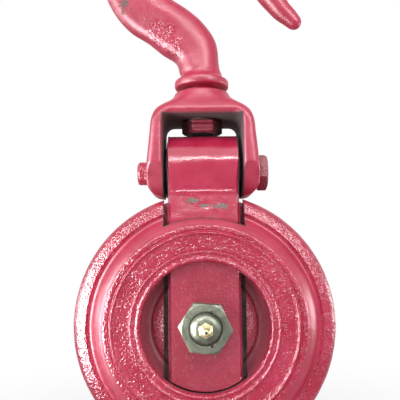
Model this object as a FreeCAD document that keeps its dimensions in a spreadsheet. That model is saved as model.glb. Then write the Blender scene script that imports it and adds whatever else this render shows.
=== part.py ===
import FreeCAD, Part
import math
import os
from types import SimpleNamespace

import Sketcher

# Swivel hook pulley block, in millimetres. The origin is the seat of the hook's bowl, where the
# block hangs; +Z is up, the strap's pivot bolt lies along X and the sheave turns about Y.
# The front, with the grease fitting, faces -Y.

# Driving sizes, in millimetres and degrees. The sheet holds each one under its name here.
SIZES = {
    # Hook
    "bowl_radius": 44,  # inside radius of the hook's bowl
    "bowl_to_pivot": 194,  # centre of the bowl above the pivot bolt
    "hook_thick": 34,  # thickness of the forged hook, front to back
    "hook_outer_nose": 11.5,  # rounding of the outer edge of the hook's section
    "hook_back_depth": 47.5,  # depth of the hook's section behind the bowl
    "hook_crown_depth": 46.5,  # depth of the section over the bowl
    "hook_front_depth": 30,  # depth of the section where the bowl ends
    "neck_diameter": 35.6,  # round neck above the collar
    "collar_diameter": 47.4,  # collar at the root of the hook
    "collar_height": 7.9,  # height of the collar's rim
    "collar_flare": 6.4,  # height of the hollow flow from the collar's rim to the neck
    "collar_edge": 2.2,  # rounding of the collar's edges
    "collar_gap": 4.2,  # gap from the yoke's hub to the collar
    "shank_diameter": 24,  # shank in the yoke's bore
    "thread_diameter": 20,  # threaded end of the shank
    "thread_chamfer": 1.2,  # chamfer on the shank's threaded end
    "hook_tip_reach": 33.9,  # how far the tip flares out past the bowl's inside radius
    "hook_tip_drop": 65.4,  # last full section of the tip below the bowl's centre
    "hook_tip_depth": 14.2,  # depth of the section at the tip
    "hook_tip_thick": 25.2,  # thickness of the section where the tip flares out
    "swivel_fit": 0.1,  # radial clearance of the shank in the yoke and washer
    "screw_fit": 0.02,  # radial clearance drawn between a thread and its nut
    # Hook nut, its cross pin and the swivel washer
    "hook_nut_flats": 30,  # width across the hook nut's flats
    "hook_nut_height": 10,  # height of the hook nut
    "nut_pin_diameter": 4,  # cross pin through the hook nut
    "nut_pin_short": 0.4,  # how far each end of the cross pin stays inside the nut's flat
    "swivel_washer_thick": 1.5,  # thickness of the bronze swivel washer
    "swivel_washer_diameter": 34,  # diameter of the bronze swivel washer
    "face_gap": 0.05,  # gap between flat faces that slide on each other
    # Yoke, measured from the pivot bolt's axis
    "yoke_underside": 44.6,  # underside of the yoke's bridge above the pivot
    "yoke_hub_top": 68.8,  # top of the yoke's hub above the pivot
    "yoke_hub_radius": 23.7,  # radius of the yoke's hub
    "yoke_opening": 63.7,  # width between the yoke's legs
    "yoke_half_width": 46.2,  # half the width over the yoke's legs
    "yoke_half_depth": 33,  # half the depth of the yoke, front to back
    "yoke_draft": 3.6,  # how far the legs' outer faces lean in at shoulder height
    "yoke_leg_corner": 6,  # rounding of the legs' outer corners
    "leg_end_radius": 27,  # radius of the leg ends about the pivot
    "leg_foot_drop": 21.4,  # flat foot of the legs below the pivot
    "leg_break_height": 4.6,  # height where the legs start to draw in
    "foot_rounding": 12,  # rounding of the foot's outer corner
    "window_corner": 7,  # rounding of the window's upper corners
    "yoke_edge": 4.5,  # rounding of the window's front and rear edges
    "crown_foot_drop": 5,  # foot of the crown's swell below the window's top
    # Pivot bolt
    "pivot_diameter": 20,  # pivot bolt
    "pivot_flats": 28,  # width across the flats of the pivot bolt's head
    "pivot_head_height": 8.5,  # height of the pivot bolt's head
    "pivot_head_turn": 49,  # turn of the head's corners
    "pivot_end_length": 9,  # threaded end standing out of the left leg
    "pivot_end_chamfer": 2,  # chamfer on the bolt's threaded end
    "bolt_fit": 0.08,  # radial clearance of a bolt in a drilled part
    # Strap
    "pivot_above_shell": 19.6,  # gap from the shells' rim up to the pivot bolt's axis
    "strap_width": 57,  # width of the strap's bar
    "strap_thick": 10,  # thickness of the strap's bar
    "strap_bend_radius": 31.5,  # outer radius of the strap's bend
    "strap_bend_drop": 19.2,  # straight run of the strap below the pivot
    "strap_arm_face": 37,  # outer face of the strap's arms from mid-plane
    "strap_arm_drop": 43.2,  # from the pivot down to where the strap's arms run straight
    "strap_end_radius": 46,  # round end of the strap about the pin
    "strap_crease": 6,  # inside radius of the strap's creases
    "strap_edge": 2,  # rounding of the strap's rolled edges
    "seat_gap": 0.2,  # gap from the strap's bend to its spool
    "spool_side_gap": 0.6,  # play of the spool between the yoke's legs
    "spool_chamfer": 1,  # chamfer on the spool's ends
    # Shells
    "shell_overhang": 2.8,  # how far the shells stand out past the sheave's rim
    "shell_inner_face": 20.5,  # inner face of the shell's rim from mid-plane
    "rim_edge_face": 26.5,  # front of the rim's outer edge from mid-plane
    "rim_bead_inset": 6.5,  # crest of the rim bead inside the shell's outer radius
    "rim_bead_bend": 9,  # rounding of the rim bead
    "rim_bead_face": 31,  # crest of the rim bead from mid-plane
    "rim_crease_inset": 13,  # crease behind the rim bead inside the shell's outer radius
    "rim_crease_step": 1.5,  # small step from the crease down to the valley
    "valley_face": 26,  # floor of the valley from mid-plane
    "valley_inset": 18.5,  # where the valley meets the ring's flank, inside the outer radius
    "ring_inset": 26.5,  # edge of the raised ring's face inside the outer radius
    "ring_wall": 5,  # wall of the raised ring
    "ring_clear": 0.5,  # gap from the strap's face to the ring's underside
    "ring_lip": 1.4,  # height of the ring's two lip beads
    "lip_half_width": 1.6,  # half the width of the outer lip bead
    "lip_groove": 0.6,  # depth of the line cut outside the outer lip bead
    "outer_lip_inset": 6.2,  # crest of the outer lip bead inside the ring's edge
    "inner_lip_offset": 2,  # crest of the inner lip bead outside the opening's edge
    "opening_radius": 49.2,  # radius of the opening in the ring
    "web_face": 23,  # front of the recessed web from mid-plane
    "web_thick": 5,  # thickness of the recessed web
    "boss_radius": 40.8,  # radius of the boss at the web
    "boss_crown_radius": 37.5,  # radius of the boss at its crown
    "boss_crown_face": 31.5,  # crown of the boss cheeks from mid-plane
    "hub_pad_radius": 33,  # radius of the pad inside the shell
    "shell_wall": 6,  # wall of the shell's flank, measured outward along the radius
    "cast_rounding": 2,  # rounding between faces of the shell's casting
    "window_side_gap": 3.2,  # gap at each side of the strap in its window
    # Sheave, its bush and the parts on the centre bolt
    "sheave_radius": 101.6,  # outer radius of the sheave
    "sheave_half_rim": 19.5,  # half the width of the sheave's rim
    "rope_radius": 11.6,  # radius of the rope groove
    "groove_depth": 23,  # depth of the rope groove
    "groove_flank_angle": 12,  # lean of each groove flank
    "sheave_rim_wall": 8,  # wall under the rope groove
    "sheave_rim_slope": 4,  # slope under the edge of the sheave's rim
    "sheave_edge": 1.5,  # rounding of the sheave's outer edges
    "sheave_web_bend": 4,  # rounding where the sheave's web meets rim and hub
    "sheave_half_web": 6,  # half the thickness of the sheave's web
    "sheave_half_hub": 15.5,  # half the length of the sheave's hub
    "sheave_hub_radius": 32,  # radius of the sheave's hub
    "bush_radius": 23,  # outer radius of the bronze bush
    "sleeve_radius": 18,  # outer radius of the centre sleeve
    "running_fit": 0.06,  # radial clearance of the bush on the sleeve
    "thrust_gap": 0.15,  # play at each face of a thrust washer
    "thrust_washer_thick": 1.5,  # thickness of the thrust washers
    "thrust_washer_fit": 0.3,  # radial clearance of the thrust washers on the sleeve
    "thrust_washer_step": 2,  # how far a thrust washer stays inside the sheave's hub
    "centre_diameter": 24,  # centre bolt
    "centre_flats": 36,  # width across the flats of centre bolt and nut
    "centre_head_height": 15,  # height of the centre bolt's head
    "centre_nut_height": 12.5,  # height of the centre nut
    "centre_nut_turn": 8,  # turn of the centre nut's corners
    "centre_head_turn": 12,  # turn of the centre bolt's head
    "centre_end_length": 4.5,  # bolt end standing out of the centre nut
    "centre_end_chamfer": 1.4,  # chamfer on the centre bolt's end
    "grease_bore": 5,  # diameter of the grease passage
    "grease_groove_width": 6,  # width of the grease groove inside the bush
    "grease_groove_depth": 1.2,  # depth of the grease groove inside the bush
    # Grease fitting
    "fitting_flats": 11,  # width across the grease fitting's flats
    "fitting_hex_height": 5,  # height of the grease fitting's hexagon
    "fitting_turn": 20,  # turn of the grease fitting's hexagon
    "fitting_thread": 9.7,  # diameter of the grease fitting's thread
    "fitting_thread_length": 8,  # length of the grease fitting's thread
    "fitting_hole_spare": 1,  # depth of the bolt's hole past the fitting's thread
    "fitting_neck": 4.8,  # diameter of the fitting's neck
    "fitting_head": 6.6,  # diameter of the fitting's ball end
    "fitting_height": 9.5,  # fitting above its hexagon
    "fitting_ball_length": 4.5,  # length of the ball end, with the slope behind it
    "fitting_mouth_length": 2,  # length of the rounded mouth of the ball end
    "fitting_inlet": 1.8,  # diameter of the fitting's inlet
    "fitting_passage": 3.4,  # diameter of the passage behind the inlet
    "check_ball": 2.8,  # diameter of the check ball
    "check_ball_gap": 0.2,  # gap from the check ball to the mouth's step
    "spring_wire": 0.45,  # wire of the check spring
    "spring_pitch": 1.1,  # pitch of the check spring
    "spring_turns": 6,  # turns of the check spring
    "spring_side_gap": 0.1,  # gap of the check spring to the passage and the ball
}

os.makedirs("parts", exist_ok=True)
doc = FreeCAD.newDocument("SwivelHookPulleyBlock")
sheet = doc.addObject("Spreadsheet::Sheet", "Sizes")
for row, (alias, number) in enumerate(SIZES.items(), start=1):
    sheet.set(f"A{row}", alias.replace("_", " "))
    sheet.set(f"B{row}", str(number))
    sheet.setAlias(f"B{row}", alias)
doc.recompute()

X_AXIS = FreeCAD.Vector(1, 0, 0)
Y_AXIS = FreeCAD.Vector(0, 1, 0)
Z_AXIS = FreeCAD.Vector(0, 0, 1)


class Size:
    """A length or angle: its number, and the words by which the sheet works it out."""

    def __init__(self, number, words):
        self.number = float(number)
        self.words = words

    def __add__(self, other):
        other = as_size(other)
        return Size(self.number + other.number, f"({self.words} + {other.words})")

    def __sub__(self, other):
        other = as_size(other)
        return Size(self.number - other.number, f"({self.words} - {other.words})")

    def __mul__(self, other):
        other = as_size(other)
        return Size(self.number * other.number, f"({self.words} * {other.words})")

    def __truediv__(self, other):
        other = as_size(other)
        return Size(self.number / other.number, f"({self.words} / {other.words})")

    def __radd__(self, other):
        return as_size(other) + self

    def __rsub__(self, other):
        return as_size(other) - self

    def __rmul__(self, other):
        return as_size(other) * self

    def __neg__(self):
        return Size(-self.number, f"(0 - {self.words})")


def as_size(value):
    """A plain number becomes a size that depends on no cell."""
    if isinstance(value, Size):
        return value
    return Size(value, f"({value!r})")


def root(value):
    value = as_size(value)
    return Size(math.sqrt(value.number), f"sqrt({value.words})")


def sine(degrees):
    degrees = as_size(degrees)
    return Size(math.sin(math.radians(degrees.number)), f"sin({degrees.words} * 1 deg)")


def cosine(degrees):
    degrees = as_size(degrees)
    return Size(math.cos(math.radians(degrees.number)), f"cos({degrees.words} * 1 deg)")


def tangent(degrees):
    return sine(degrees) / cosine(degrees)


dim = SimpleNamespace(**{alias: Size(number, f"Sizes.{alias}") for alias, number in SIZES.items()})

# Places that several pieces share
shell_radius = dim.sheave_radius + dim.shell_overhang
pin_to_pivot = shell_radius + dim.pivot_above_shell
pivot_drop = dim.bowl_to_pivot + dim.bowl_radius
pin_drop = pivot_drop + pin_to_pivot
collar_bottom = dim.yoke_hub_top + dim.collar_gap
hook_nut_top = dim.yoke_underside - dim.swivel_washer_thick - dim.face_gap * 2
strap_inner_face = dim.strap_arm_face - dim.strap_thick
strap_inner_radius = dim.strap_bend_radius - dim.strap_thick
hub_face = dim.sheave_half_hub + dim.thrust_gap * 2 + dim.thrust_washer_thick
ring_face = dim.strap_arm_face + dim.ring_clear + dim.ring_wall
strap_outside = dim.strap_arm_face + dim.face_gap


def point(x, y):
    return FreeCAD.Vector(as_size(x).number, as_size(y).number, 0)


def arc_between(start, end, bend):
    """The shorter arc from start to end; it turns left where its radius, bend, is positive."""
    chord = end - start
    left = FreeCAD.Vector(-chord.y, chord.x, 0).normalize()
    reach = math.sqrt(max(bend * bend - chord.Length ** 2 / 4, 0))
    side = 1 if bend > 0 else -1
    centre = (start + end) * 0.5 + left * (reach * side)
    first, last = (start, end) if bend > 0 else (end, start)
    first_angle = math.atan2(first.y - centre.y, first.x - centre.x)
    last_angle = math.atan2(last.y - centre.y, last.x - centre.x)
    circle_of_arc = Part.Circle(centre, Z_AXIS, abs(bend))
    return Part.ArcOfCircle(circle_of_arc, first_angle, last_angle)


def constrain(sketch, size, kind, *places):
    """Add one dimension to the sketch, tied to the sheet."""
    size = as_size(size)
    number = sketch.addConstraint(Sketcher.Constraint(kind, *places, size.number))
    sketch.setExpression(f"Constraints[{number}]", size.words)


def fix_point(sketch, edge, end, x, y):
    """Hold one end of an edge at x and y from the sketch's own origin."""
    if as_size(x).number == 0:
        sketch.addConstraint(Sketcher.Constraint("PointOnObject", edge, end, -2))
    else:
        constrain(sketch, x, "DistanceX", -1, 1, edge, end)
    if as_size(y).number == 0:
        sketch.addConstraint(Sketcher.Constraint("PointOnObject", edge, end, -1))
    else:
        constrain(sketch, y, "DistanceY", -1, 1, edge, end)


def draw(sketch, corners):
    """A closed outline. A corner is x and y, and also a bend radius where an arc follows it."""
    count = len(corners)
    edges = []
    for index, corner in enumerate(corners):
        start = point(corner[0], corner[1])
        after = corners[(index + 1) % count]
        end = point(after[0], after[1])
        if len(corner) == 3:
            bend = as_size(corner[2])
            edge = sketch.addGeometry(arc_between(start, end, bend.number))
            ends = (1, 2) if bend.number > 0 else (2, 1)
        else:
            edge = sketch.addGeometry(Part.LineSegment(start, end))
            ends = (1, 2)
        edges.append((edge, ends))
    for index, (edge, ends) in enumerate(edges):
        next_edge, next_ends = edges[(index + 1) % count]
        sketch.addConstraint(Sketcher.Constraint("Coincident", edge, ends[1], next_edge, next_ends[0]))
    for (edge, ends), corner in zip(edges, corners):
        fix_point(sketch, edge, ends[0], corner[0], corner[1])
        if len(corner) == 3:
            bend = as_size(corner[2])
            constrain(sketch, bend if bend.number > 0 else -bend, "Radius", edge)


def draw_circle(sketch, x, y, radius):
    edge = sketch.addGeometry(Part.Circle(point(x, y), Z_AXIS, as_size(radius).number))
    fix_point(sketch, edge, 3, x, y)
    constrain(sketch, radius, "Radius", edge)


def draw_hexagon(sketch, flats, turn=0):
    """A hexagon about the sketch's origin, its first corner turned from the x axis."""
    corner_radius = flats / root(3)
    corners = []
    for number in range(6):
        angle = as_size(turn) + 60 * number + 0.001
        corners.append((corner_radius * cosine(angle), corner_radius * sine(angle)))
    draw(sketch, corners)


def new_body(label):
    body = doc.addObject("PartDesign::Body", label)
    body.Label = label
    return body


def place(piece, drop):
    """Hang a piece, modelled about its own origin, below the hook's bowl."""
    piece.setExpression("Placement.Base.z", (-drop).words)


def new_sketch(body, name, plane, offset=None, turn=0):
    """A sketch on one of the body's own planes, moved along its normal or turned about its y axis."""
    sketch = body.newObject("Sketcher::SketchObject", name)
    support = next(item for item in body.Origin.OriginFeatures if item.Role == plane)
    sketch.AttachmentSupport = [(support, "")]
    sketch.MapMode = "FlatFace"
    sketch.AttachmentOffset = FreeCAD.Placement(FreeCAD.Vector(), FreeCAD.Rotation(Y_AXIS, turn))
    if offset is not None:
        sketch.setExpression("AttachmentOffset.Base.z", as_size(offset).words)
    return sketch


def pad(body, name, sketch, length, symmetric=False, reverse=False):
    feature = body.newObject("PartDesign::Pad", name)
    feature.Profile = sketch
    feature.setExpression("Length", as_size(length).words)
    feature.Midplane = symmetric
    feature.Reversed = reverse
    body.Tip = feature
    return feature


def pocket(body, name, sketch, length, symmetric=False, reverse=False):
    """Cut the sketch's shape out of the body, and check that something came away."""
    doc.recompute()
    before = body.Tip.Shape.Volume
    feature = body.newObject("PartDesign::Pocket", name)
    feature.Profile = sketch
    feature.setExpression("Length", as_size(length).words)
    feature.Midplane = symmetric
    feature.Reversed = reverse
    body.Tip = feature
    doc.recompute()
    if feature.Shape.Volume >= before:
        raise RuntimeError(f"{feature.Label} cuts nothing")
    return feature


def revolve(body, name, sketch, axis):
    feature = body.newObject("PartDesign::Revolution", name)
    feature.Profile = sketch
    feature.ReferenceAxis = (sketch, [axis])
    feature.Angle = 360
    body.Tip = feature
    return feature


def groove(body, name, sketch, axis):
    """Turn material off the body, and check that something came away."""
    doc.recompute()
    before = body.Tip.Shape.Volume
    feature = body.newObject("PartDesign::Groove", name)
    feature.Profile = sketch
    feature.ReferenceAxis = (sketch, [axis])
    feature.Angle = 360
    body.Tip = feature
    doc.recompute()
    if feature.Shape.Volume >= before:
        raise RuntimeError(f"{feature.Label} cuts nothing")
    return feature


def round_edges(body, name, radius, wanted):
    """Fillet the edges of the body that the test picks out."""
    doc.recompute()
    base = body.Tip
    names = [f"Edge{number}" for number, edge in enumerate(base.Shape.Edges, start=1) if wanted(edge)]
    if not names:
        raise RuntimeError(f"{name} finds no edge on {body.Label}")
    feature = body.newObject("PartDesign::Fillet", name)
    feature.Base = (base, names)
    feature.setExpression("Radius", as_size(radius).words)
    body.Tip = feature
    return feature


def middle(edge):
    """The point half way along an edge."""
    return edge.valueAt((edge.FirstParameter + edge.LastParameter) / 2)


def near(value, size):
    """Whether a measured coordinate is a size, to a hundredth of a millimetre."""
    return abs(value - as_size(size).number) < 0.01


def chamfer_hexagon(body, plane, axis, flats, face, outward, both_sides_from=None):
    """Turn the corners off a hexagon's face at thirty degrees, as on a machined nut or head."""
    flat_radius = flats / 2 * 0.97
    corner_radius = flats / root(3) * 1.05
    drop = (corner_radius - flat_radius) * tangent(30)
    faces = [(face, outward)]
    if both_sides_from is not None:
        faces.append((both_sides_from, -outward))
    for number, (level, way) in enumerate(faces, start=1):
        sketch = new_sketch(body, f"CornerProfile{number}", plane)
        along = [(level, flat_radius), (level, corner_radius), (level - way * drop, corner_radius)]
        if axis == "V_Axis":
            along = [(radius, height) for height, radius in along]
        draw(sketch, along)
        groove(body, f"Corners{number}", sketch, axis)


# Hook: a belt-shaped section, wide at the bowl and narrow outside, carried along the stem, round
# the bowl and out to the flared tip. A station's point lies on the hook's inner line, and its
# angle is the way from there to the outer edge.
# Stem: shares of the way from the neck to the bowl's start, across and up; angle; share of depth.
STEM_STATIONS = (
    (0.036, 0.103, 190, 0.03),
    (0.075, 0.315, 205, 0.36),
    (0.25, 0.505, 215.5, 0.82),
    (0.475, 0.645, 219, 0.89),
    (0.775, 0.782, 220.8, 0.9),
)
BOWL_ANGLES = (205, 180, 150, 120, 90, 60, 30, 5)
# Tip: shares of its reach past the bowl and of its drop; angle; share of the depth lost.
TIP_STATIONS = (
    (-0.03, 0.216, 0, 0.16),
    (0.01, 0.415, 15, 0.32),
    (0.19, 0.593, 31, 0.48),
    (0.475, 0.772, 40, 0.64),
    (0.66, 0.869, 44, 0.75),
    (0.855, 0.944, 46, 0.88),
    (1, 1, 46, 1),
)
# Nose: how far past the last station, in shares of its depth, and the share of its depth left.
NOSE_STATIONS = ((0.11, 0.95), (0.23, 0.82), (0.34, 0.62), (0.41, 0.42), (0.44, 0.2))
# The two round ends of a section that is all but a circle.
NEARLY_HALF = 0.49
NUT_PIN_TURN = 30


def belt_section(body, name, x, z, way, depth, inner, outer):
    """Two round ends joined by straight flanks, standing square to the hook's centre line."""
    sketch = body.newObject("Sketcher::SketchObject", name)
    support = next(item for item in body.Origin.OriginFeatures if item.Role == "XY_Plane")
    sketch.AttachmentSupport = [(support, "")]
    sketch.MapMode = "FlatFace"
    sketch.AttachmentOffset = FreeCAD.Placement(
        FreeCAD.Vector(as_size(x).number, 0, as_size(z).number),
        FreeCAD.Rotation(Y_AXIS, -as_size(way).number))
    sketch.setExpression("AttachmentOffset.Base.x", as_size(x).words)
    sketch.setExpression("AttachmentOffset.Base.z", as_size(z).words)
    lean = (inner - outer) / (depth - inner - outer)
    across = root(1 - lean * lean)
    far = depth - outer
    draw(sketch, (
        (inner + inner * lean, inner * across, inner),
        (0, 0, inner),
        (inner + inner * lean, -(inner * across)),
        (far + outer * lean, -(outer * across), outer),
        (depth, 0, outer),
        (far + outer * lean, outer * across),
    ))
    return sketch


def make_hook():
    body = new_body("hook")
    half = dim.hook_thick / 2
    neck = dim.neck_diameter / 2
    neck_end = dim.neck_diameter * NEARLY_HALF
    sections = []

    def between(first, last, share):
        return first + (last - first) * share

    def add(x, z, way, depth, inner, outer):
        """A station at x and z from the bowl's centre."""
        name = f"Section{len(sections) + 1}"
        sections.append(belt_section(body, name, x, z - dim.bowl_radius, way, depth, inner, outer))

    # The loft starts just inside the collar's flow, so that the two join.
    neck_z = collar_bottom + dim.collar_height + dim.collar_flare - 1 - dim.bowl_to_pivot
    start_x = dim.bowl_radius * cosine(BOWL_ANGLES[0])
    start_z = dim.bowl_radius * sine(BOWL_ANGLES[0])
    add(neck, neck_z, 180, dim.neck_diameter, neck_end, neck_end)
    for number, (across, up, way, gained) in enumerate(STEM_STATIONS):
        share = min(number / 3, 1)
        add(between(neck, start_x, across), between(neck_z, start_z, up), way,
            between(dim.neck_diameter, dim.hook_back_depth, gained),
            between(neck_end, half, share), between(neck_end, dim.hook_outer_nose, share))

    for angle in BOWL_ANGLES:
        if angle >= 90:
            share = min((angle - 90) / 90, 1)
            depth = between(dim.hook_crown_depth, dim.hook_back_depth, share)
            inner = half
        else:
            share = (90 - angle) / (90 - BOWL_ANGLES[-1])
            depth = between(dim.hook_crown_depth, dim.hook_front_depth, share)
            inner = between(half, dim.hook_tip_thick / 2, share)
        outer = dim.hook_outer_nose * (1 if angle >= 90 else 0.95)
        add(dim.bowl_radius * cosine(angle), dim.bowl_radius * sine(angle), angle, depth, inner, outer)

    for out, down, way, lost in TIP_STATIONS:
        depth = between(dim.hook_front_depth, dim.hook_tip_depth, lost)
        widest = dim.hook_tip_thick / 2
        inner = depth * NEARLY_HALF if depth.number * NEARLY_HALF < widest.number else widest
        outer = min((depth * 0.47, dim.hook_outer_nose * 0.92), key=lambda size: size.number)
        add(dim.bowl_radius + dim.hook_tip_reach * out, -(dim.hook_tip_drop * down), way,
            depth, inner, outer)

    depth = dim.hook_tip_depth
    way = TIP_STATIONS[-1][2]
    for reach, scale in NOSE_STATIONS:
        forward = depth * reach
        aside = depth * ((1 - scale) / 2)
        add(dim.bowl_radius + dim.hook_tip_reach + forward * cosine(way - 90) + aside * cosine(way),
            -dim.hook_tip_drop + forward * sine(way - 90) + aside * sine(way),
            way, depth * scale, depth * (scale * NEARLY_HALF), depth * (scale * 0.47))
    loft = body.newObject("PartDesign::AdditiveLoft", "Forging")
    loft.Profile = sections[0]
    loft.Sections = sections[1:]
    body.Tip = loft

    shank = new_sketch(body, "ShankProfile", "XZ_Plane")
    collar_foot = collar_bottom - pivot_drop
    collar_top = collar_foot + dim.collar_height
    thread_top = hook_nut_top - pivot_drop
    thread_bottom = thread_top - dim.hook_nut_height
    thread = dim.thread_diameter / 2
    edge = dim.collar_edge
    rim = dim.collar_diameter / 2
    flow_width = rim - edge - neck
    flow_bend = (flow_width * flow_width + dim.collar_flare * dim.collar_flare) / (flow_width * 2)
    draw(shank, (
        (0, thread_bottom),
        (thread - dim.thread_chamfer, thread_bottom),
        (thread, thread_bottom + dim.thread_chamfer),
        (thread, thread_top),
        (dim.shank_diameter / 2, thread_top + dim.face_gap),
        (dim.shank_diameter / 2, collar_foot),
        (rim - edge, collar_foot, edge),
        (rim, collar_foot + edge),
        (rim, collar_top - edge, edge),
        (rim - edge, collar_top, -flow_bend),
        (neck, collar_top + dim.collar_flare),
        (0, collar_top + dim.collar_flare),
    ))
    revolve(body, "Shank", shank, "V_Axis")
    cross = new_sketch(body, "NutPinHole", "YZ_Plane", turn=NUT_PIN_TURN)
    draw_circle(cross, 0, thread_top - dim.hook_nut_height / 2, dim.nut_pin_diameter / 2)
    pocket(body, "PinHole", cross, dim.thread_diameter * 1.2, symmetric=True)
    return body


def make_hook_nut_pin():
    """A spring pin driven through two opposite flats of the nut and through the shank."""
    pin = doc.addObject("Part::Cylinder", "hook_nut_pin")
    pin.Label = "hook_nut_pin"
    length = dim.hook_nut_flats - dim.nut_pin_short * 2
    pin.setExpression("Radius", (dim.nut_pin_diameter / 2).words)
    pin.setExpression("Height", length.words)
    along = FreeCAD.Rotation(Z_AXIS, NUT_PIN_TURN).multVec(X_AXIS)
    pin.Placement = FreeCAD.Placement(FreeCAD.Vector(), FreeCAD.Rotation(Z_AXIS, along))
    pin.setExpression("Placement.Base.x", (-(length / 2) * along.x).words)
    pin.setExpression("Placement.Base.y", (-(length / 2) * along.y).words)
    pin.setExpression("Placement.Base.z", (hook_nut_top - dim.hook_nut_height / 2 - pivot_drop).words)
    return pin


def make_hook_nut():
    body = new_body("hook_nut")
    bottom = hook_nut_top - dim.hook_nut_height
    sketch = new_sketch(body, "Hexagon", "XY_Plane", bottom)
    draw_hexagon(sketch, dim.hook_nut_flats)
    draw_circle(sketch, 0, 0, dim.thread_diameter / 2 + dim.screw_fit)
    pad(body, "Block", sketch, dim.hook_nut_height)
    chamfer_hexagon(body, "XZ_Plane", "V_Axis", dim.hook_nut_flats, bottom, -1)
    cross = new_sketch(body, "PinHoleSketch", "YZ_Plane", turn=NUT_PIN_TURN)
    draw_circle(cross, 0, hook_nut_top - dim.hook_nut_height / 2, dim.nut_pin_diameter / 2)
    pocket(body, "PinHole", cross, dim.hook_nut_flats * 1.3, symmetric=True)
    place(body, pivot_drop)
    return body


def make_swivel_washer():
    body = new_body("swivel_thrust_washer")
    sketch = new_sketch(body, "Ring", "XY_Plane", hook_nut_top + dim.face_gap)
    draw_circle(sketch, 0, 0, dim.swivel_washer_diameter / 2)
    draw_circle(sketch, 0, 0, dim.shank_diameter / 2 + dim.swivel_fit)
    pad(body, "Washer", sketch, dim.swivel_washer_thick)
    place(body, pivot_drop)
    return body


def rounded_rectangle(sketch, half_x, half_y, corner):
    """A rectangle with round corners about the sketch's origin."""
    flat_x = half_x - corner
    flat_y = half_y - corner
    draw(sketch, (
        (half_x, -flat_y),
        (half_x, flat_y, corner),
        (flat_x, half_y),
        (-flat_x, half_y, corner),
        (-half_x, flat_y),
        (-half_x, -flat_y, corner),
        (-flat_x, -half_y),
        (flat_x, -half_y, corner),
    ))


# Yoke: the crown's stations, in shares of the way down from the hub to the shoulder, out to the
# shoulder's width, forward to its depth, and from the hub's round section to the legs' corner.
CROWN_STATIONS = (
    (0, 0, 0, 0),
    (0.26, 0.22, 0.2, 0.2),
    (0.47, 0.62, 0.55, 0.5),
    (0.63, 0.82, 0.8, 0.72),
    (0.8, 0.93, 0.95, 0.9),
    (1, 1, 1, 1),
)


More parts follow.
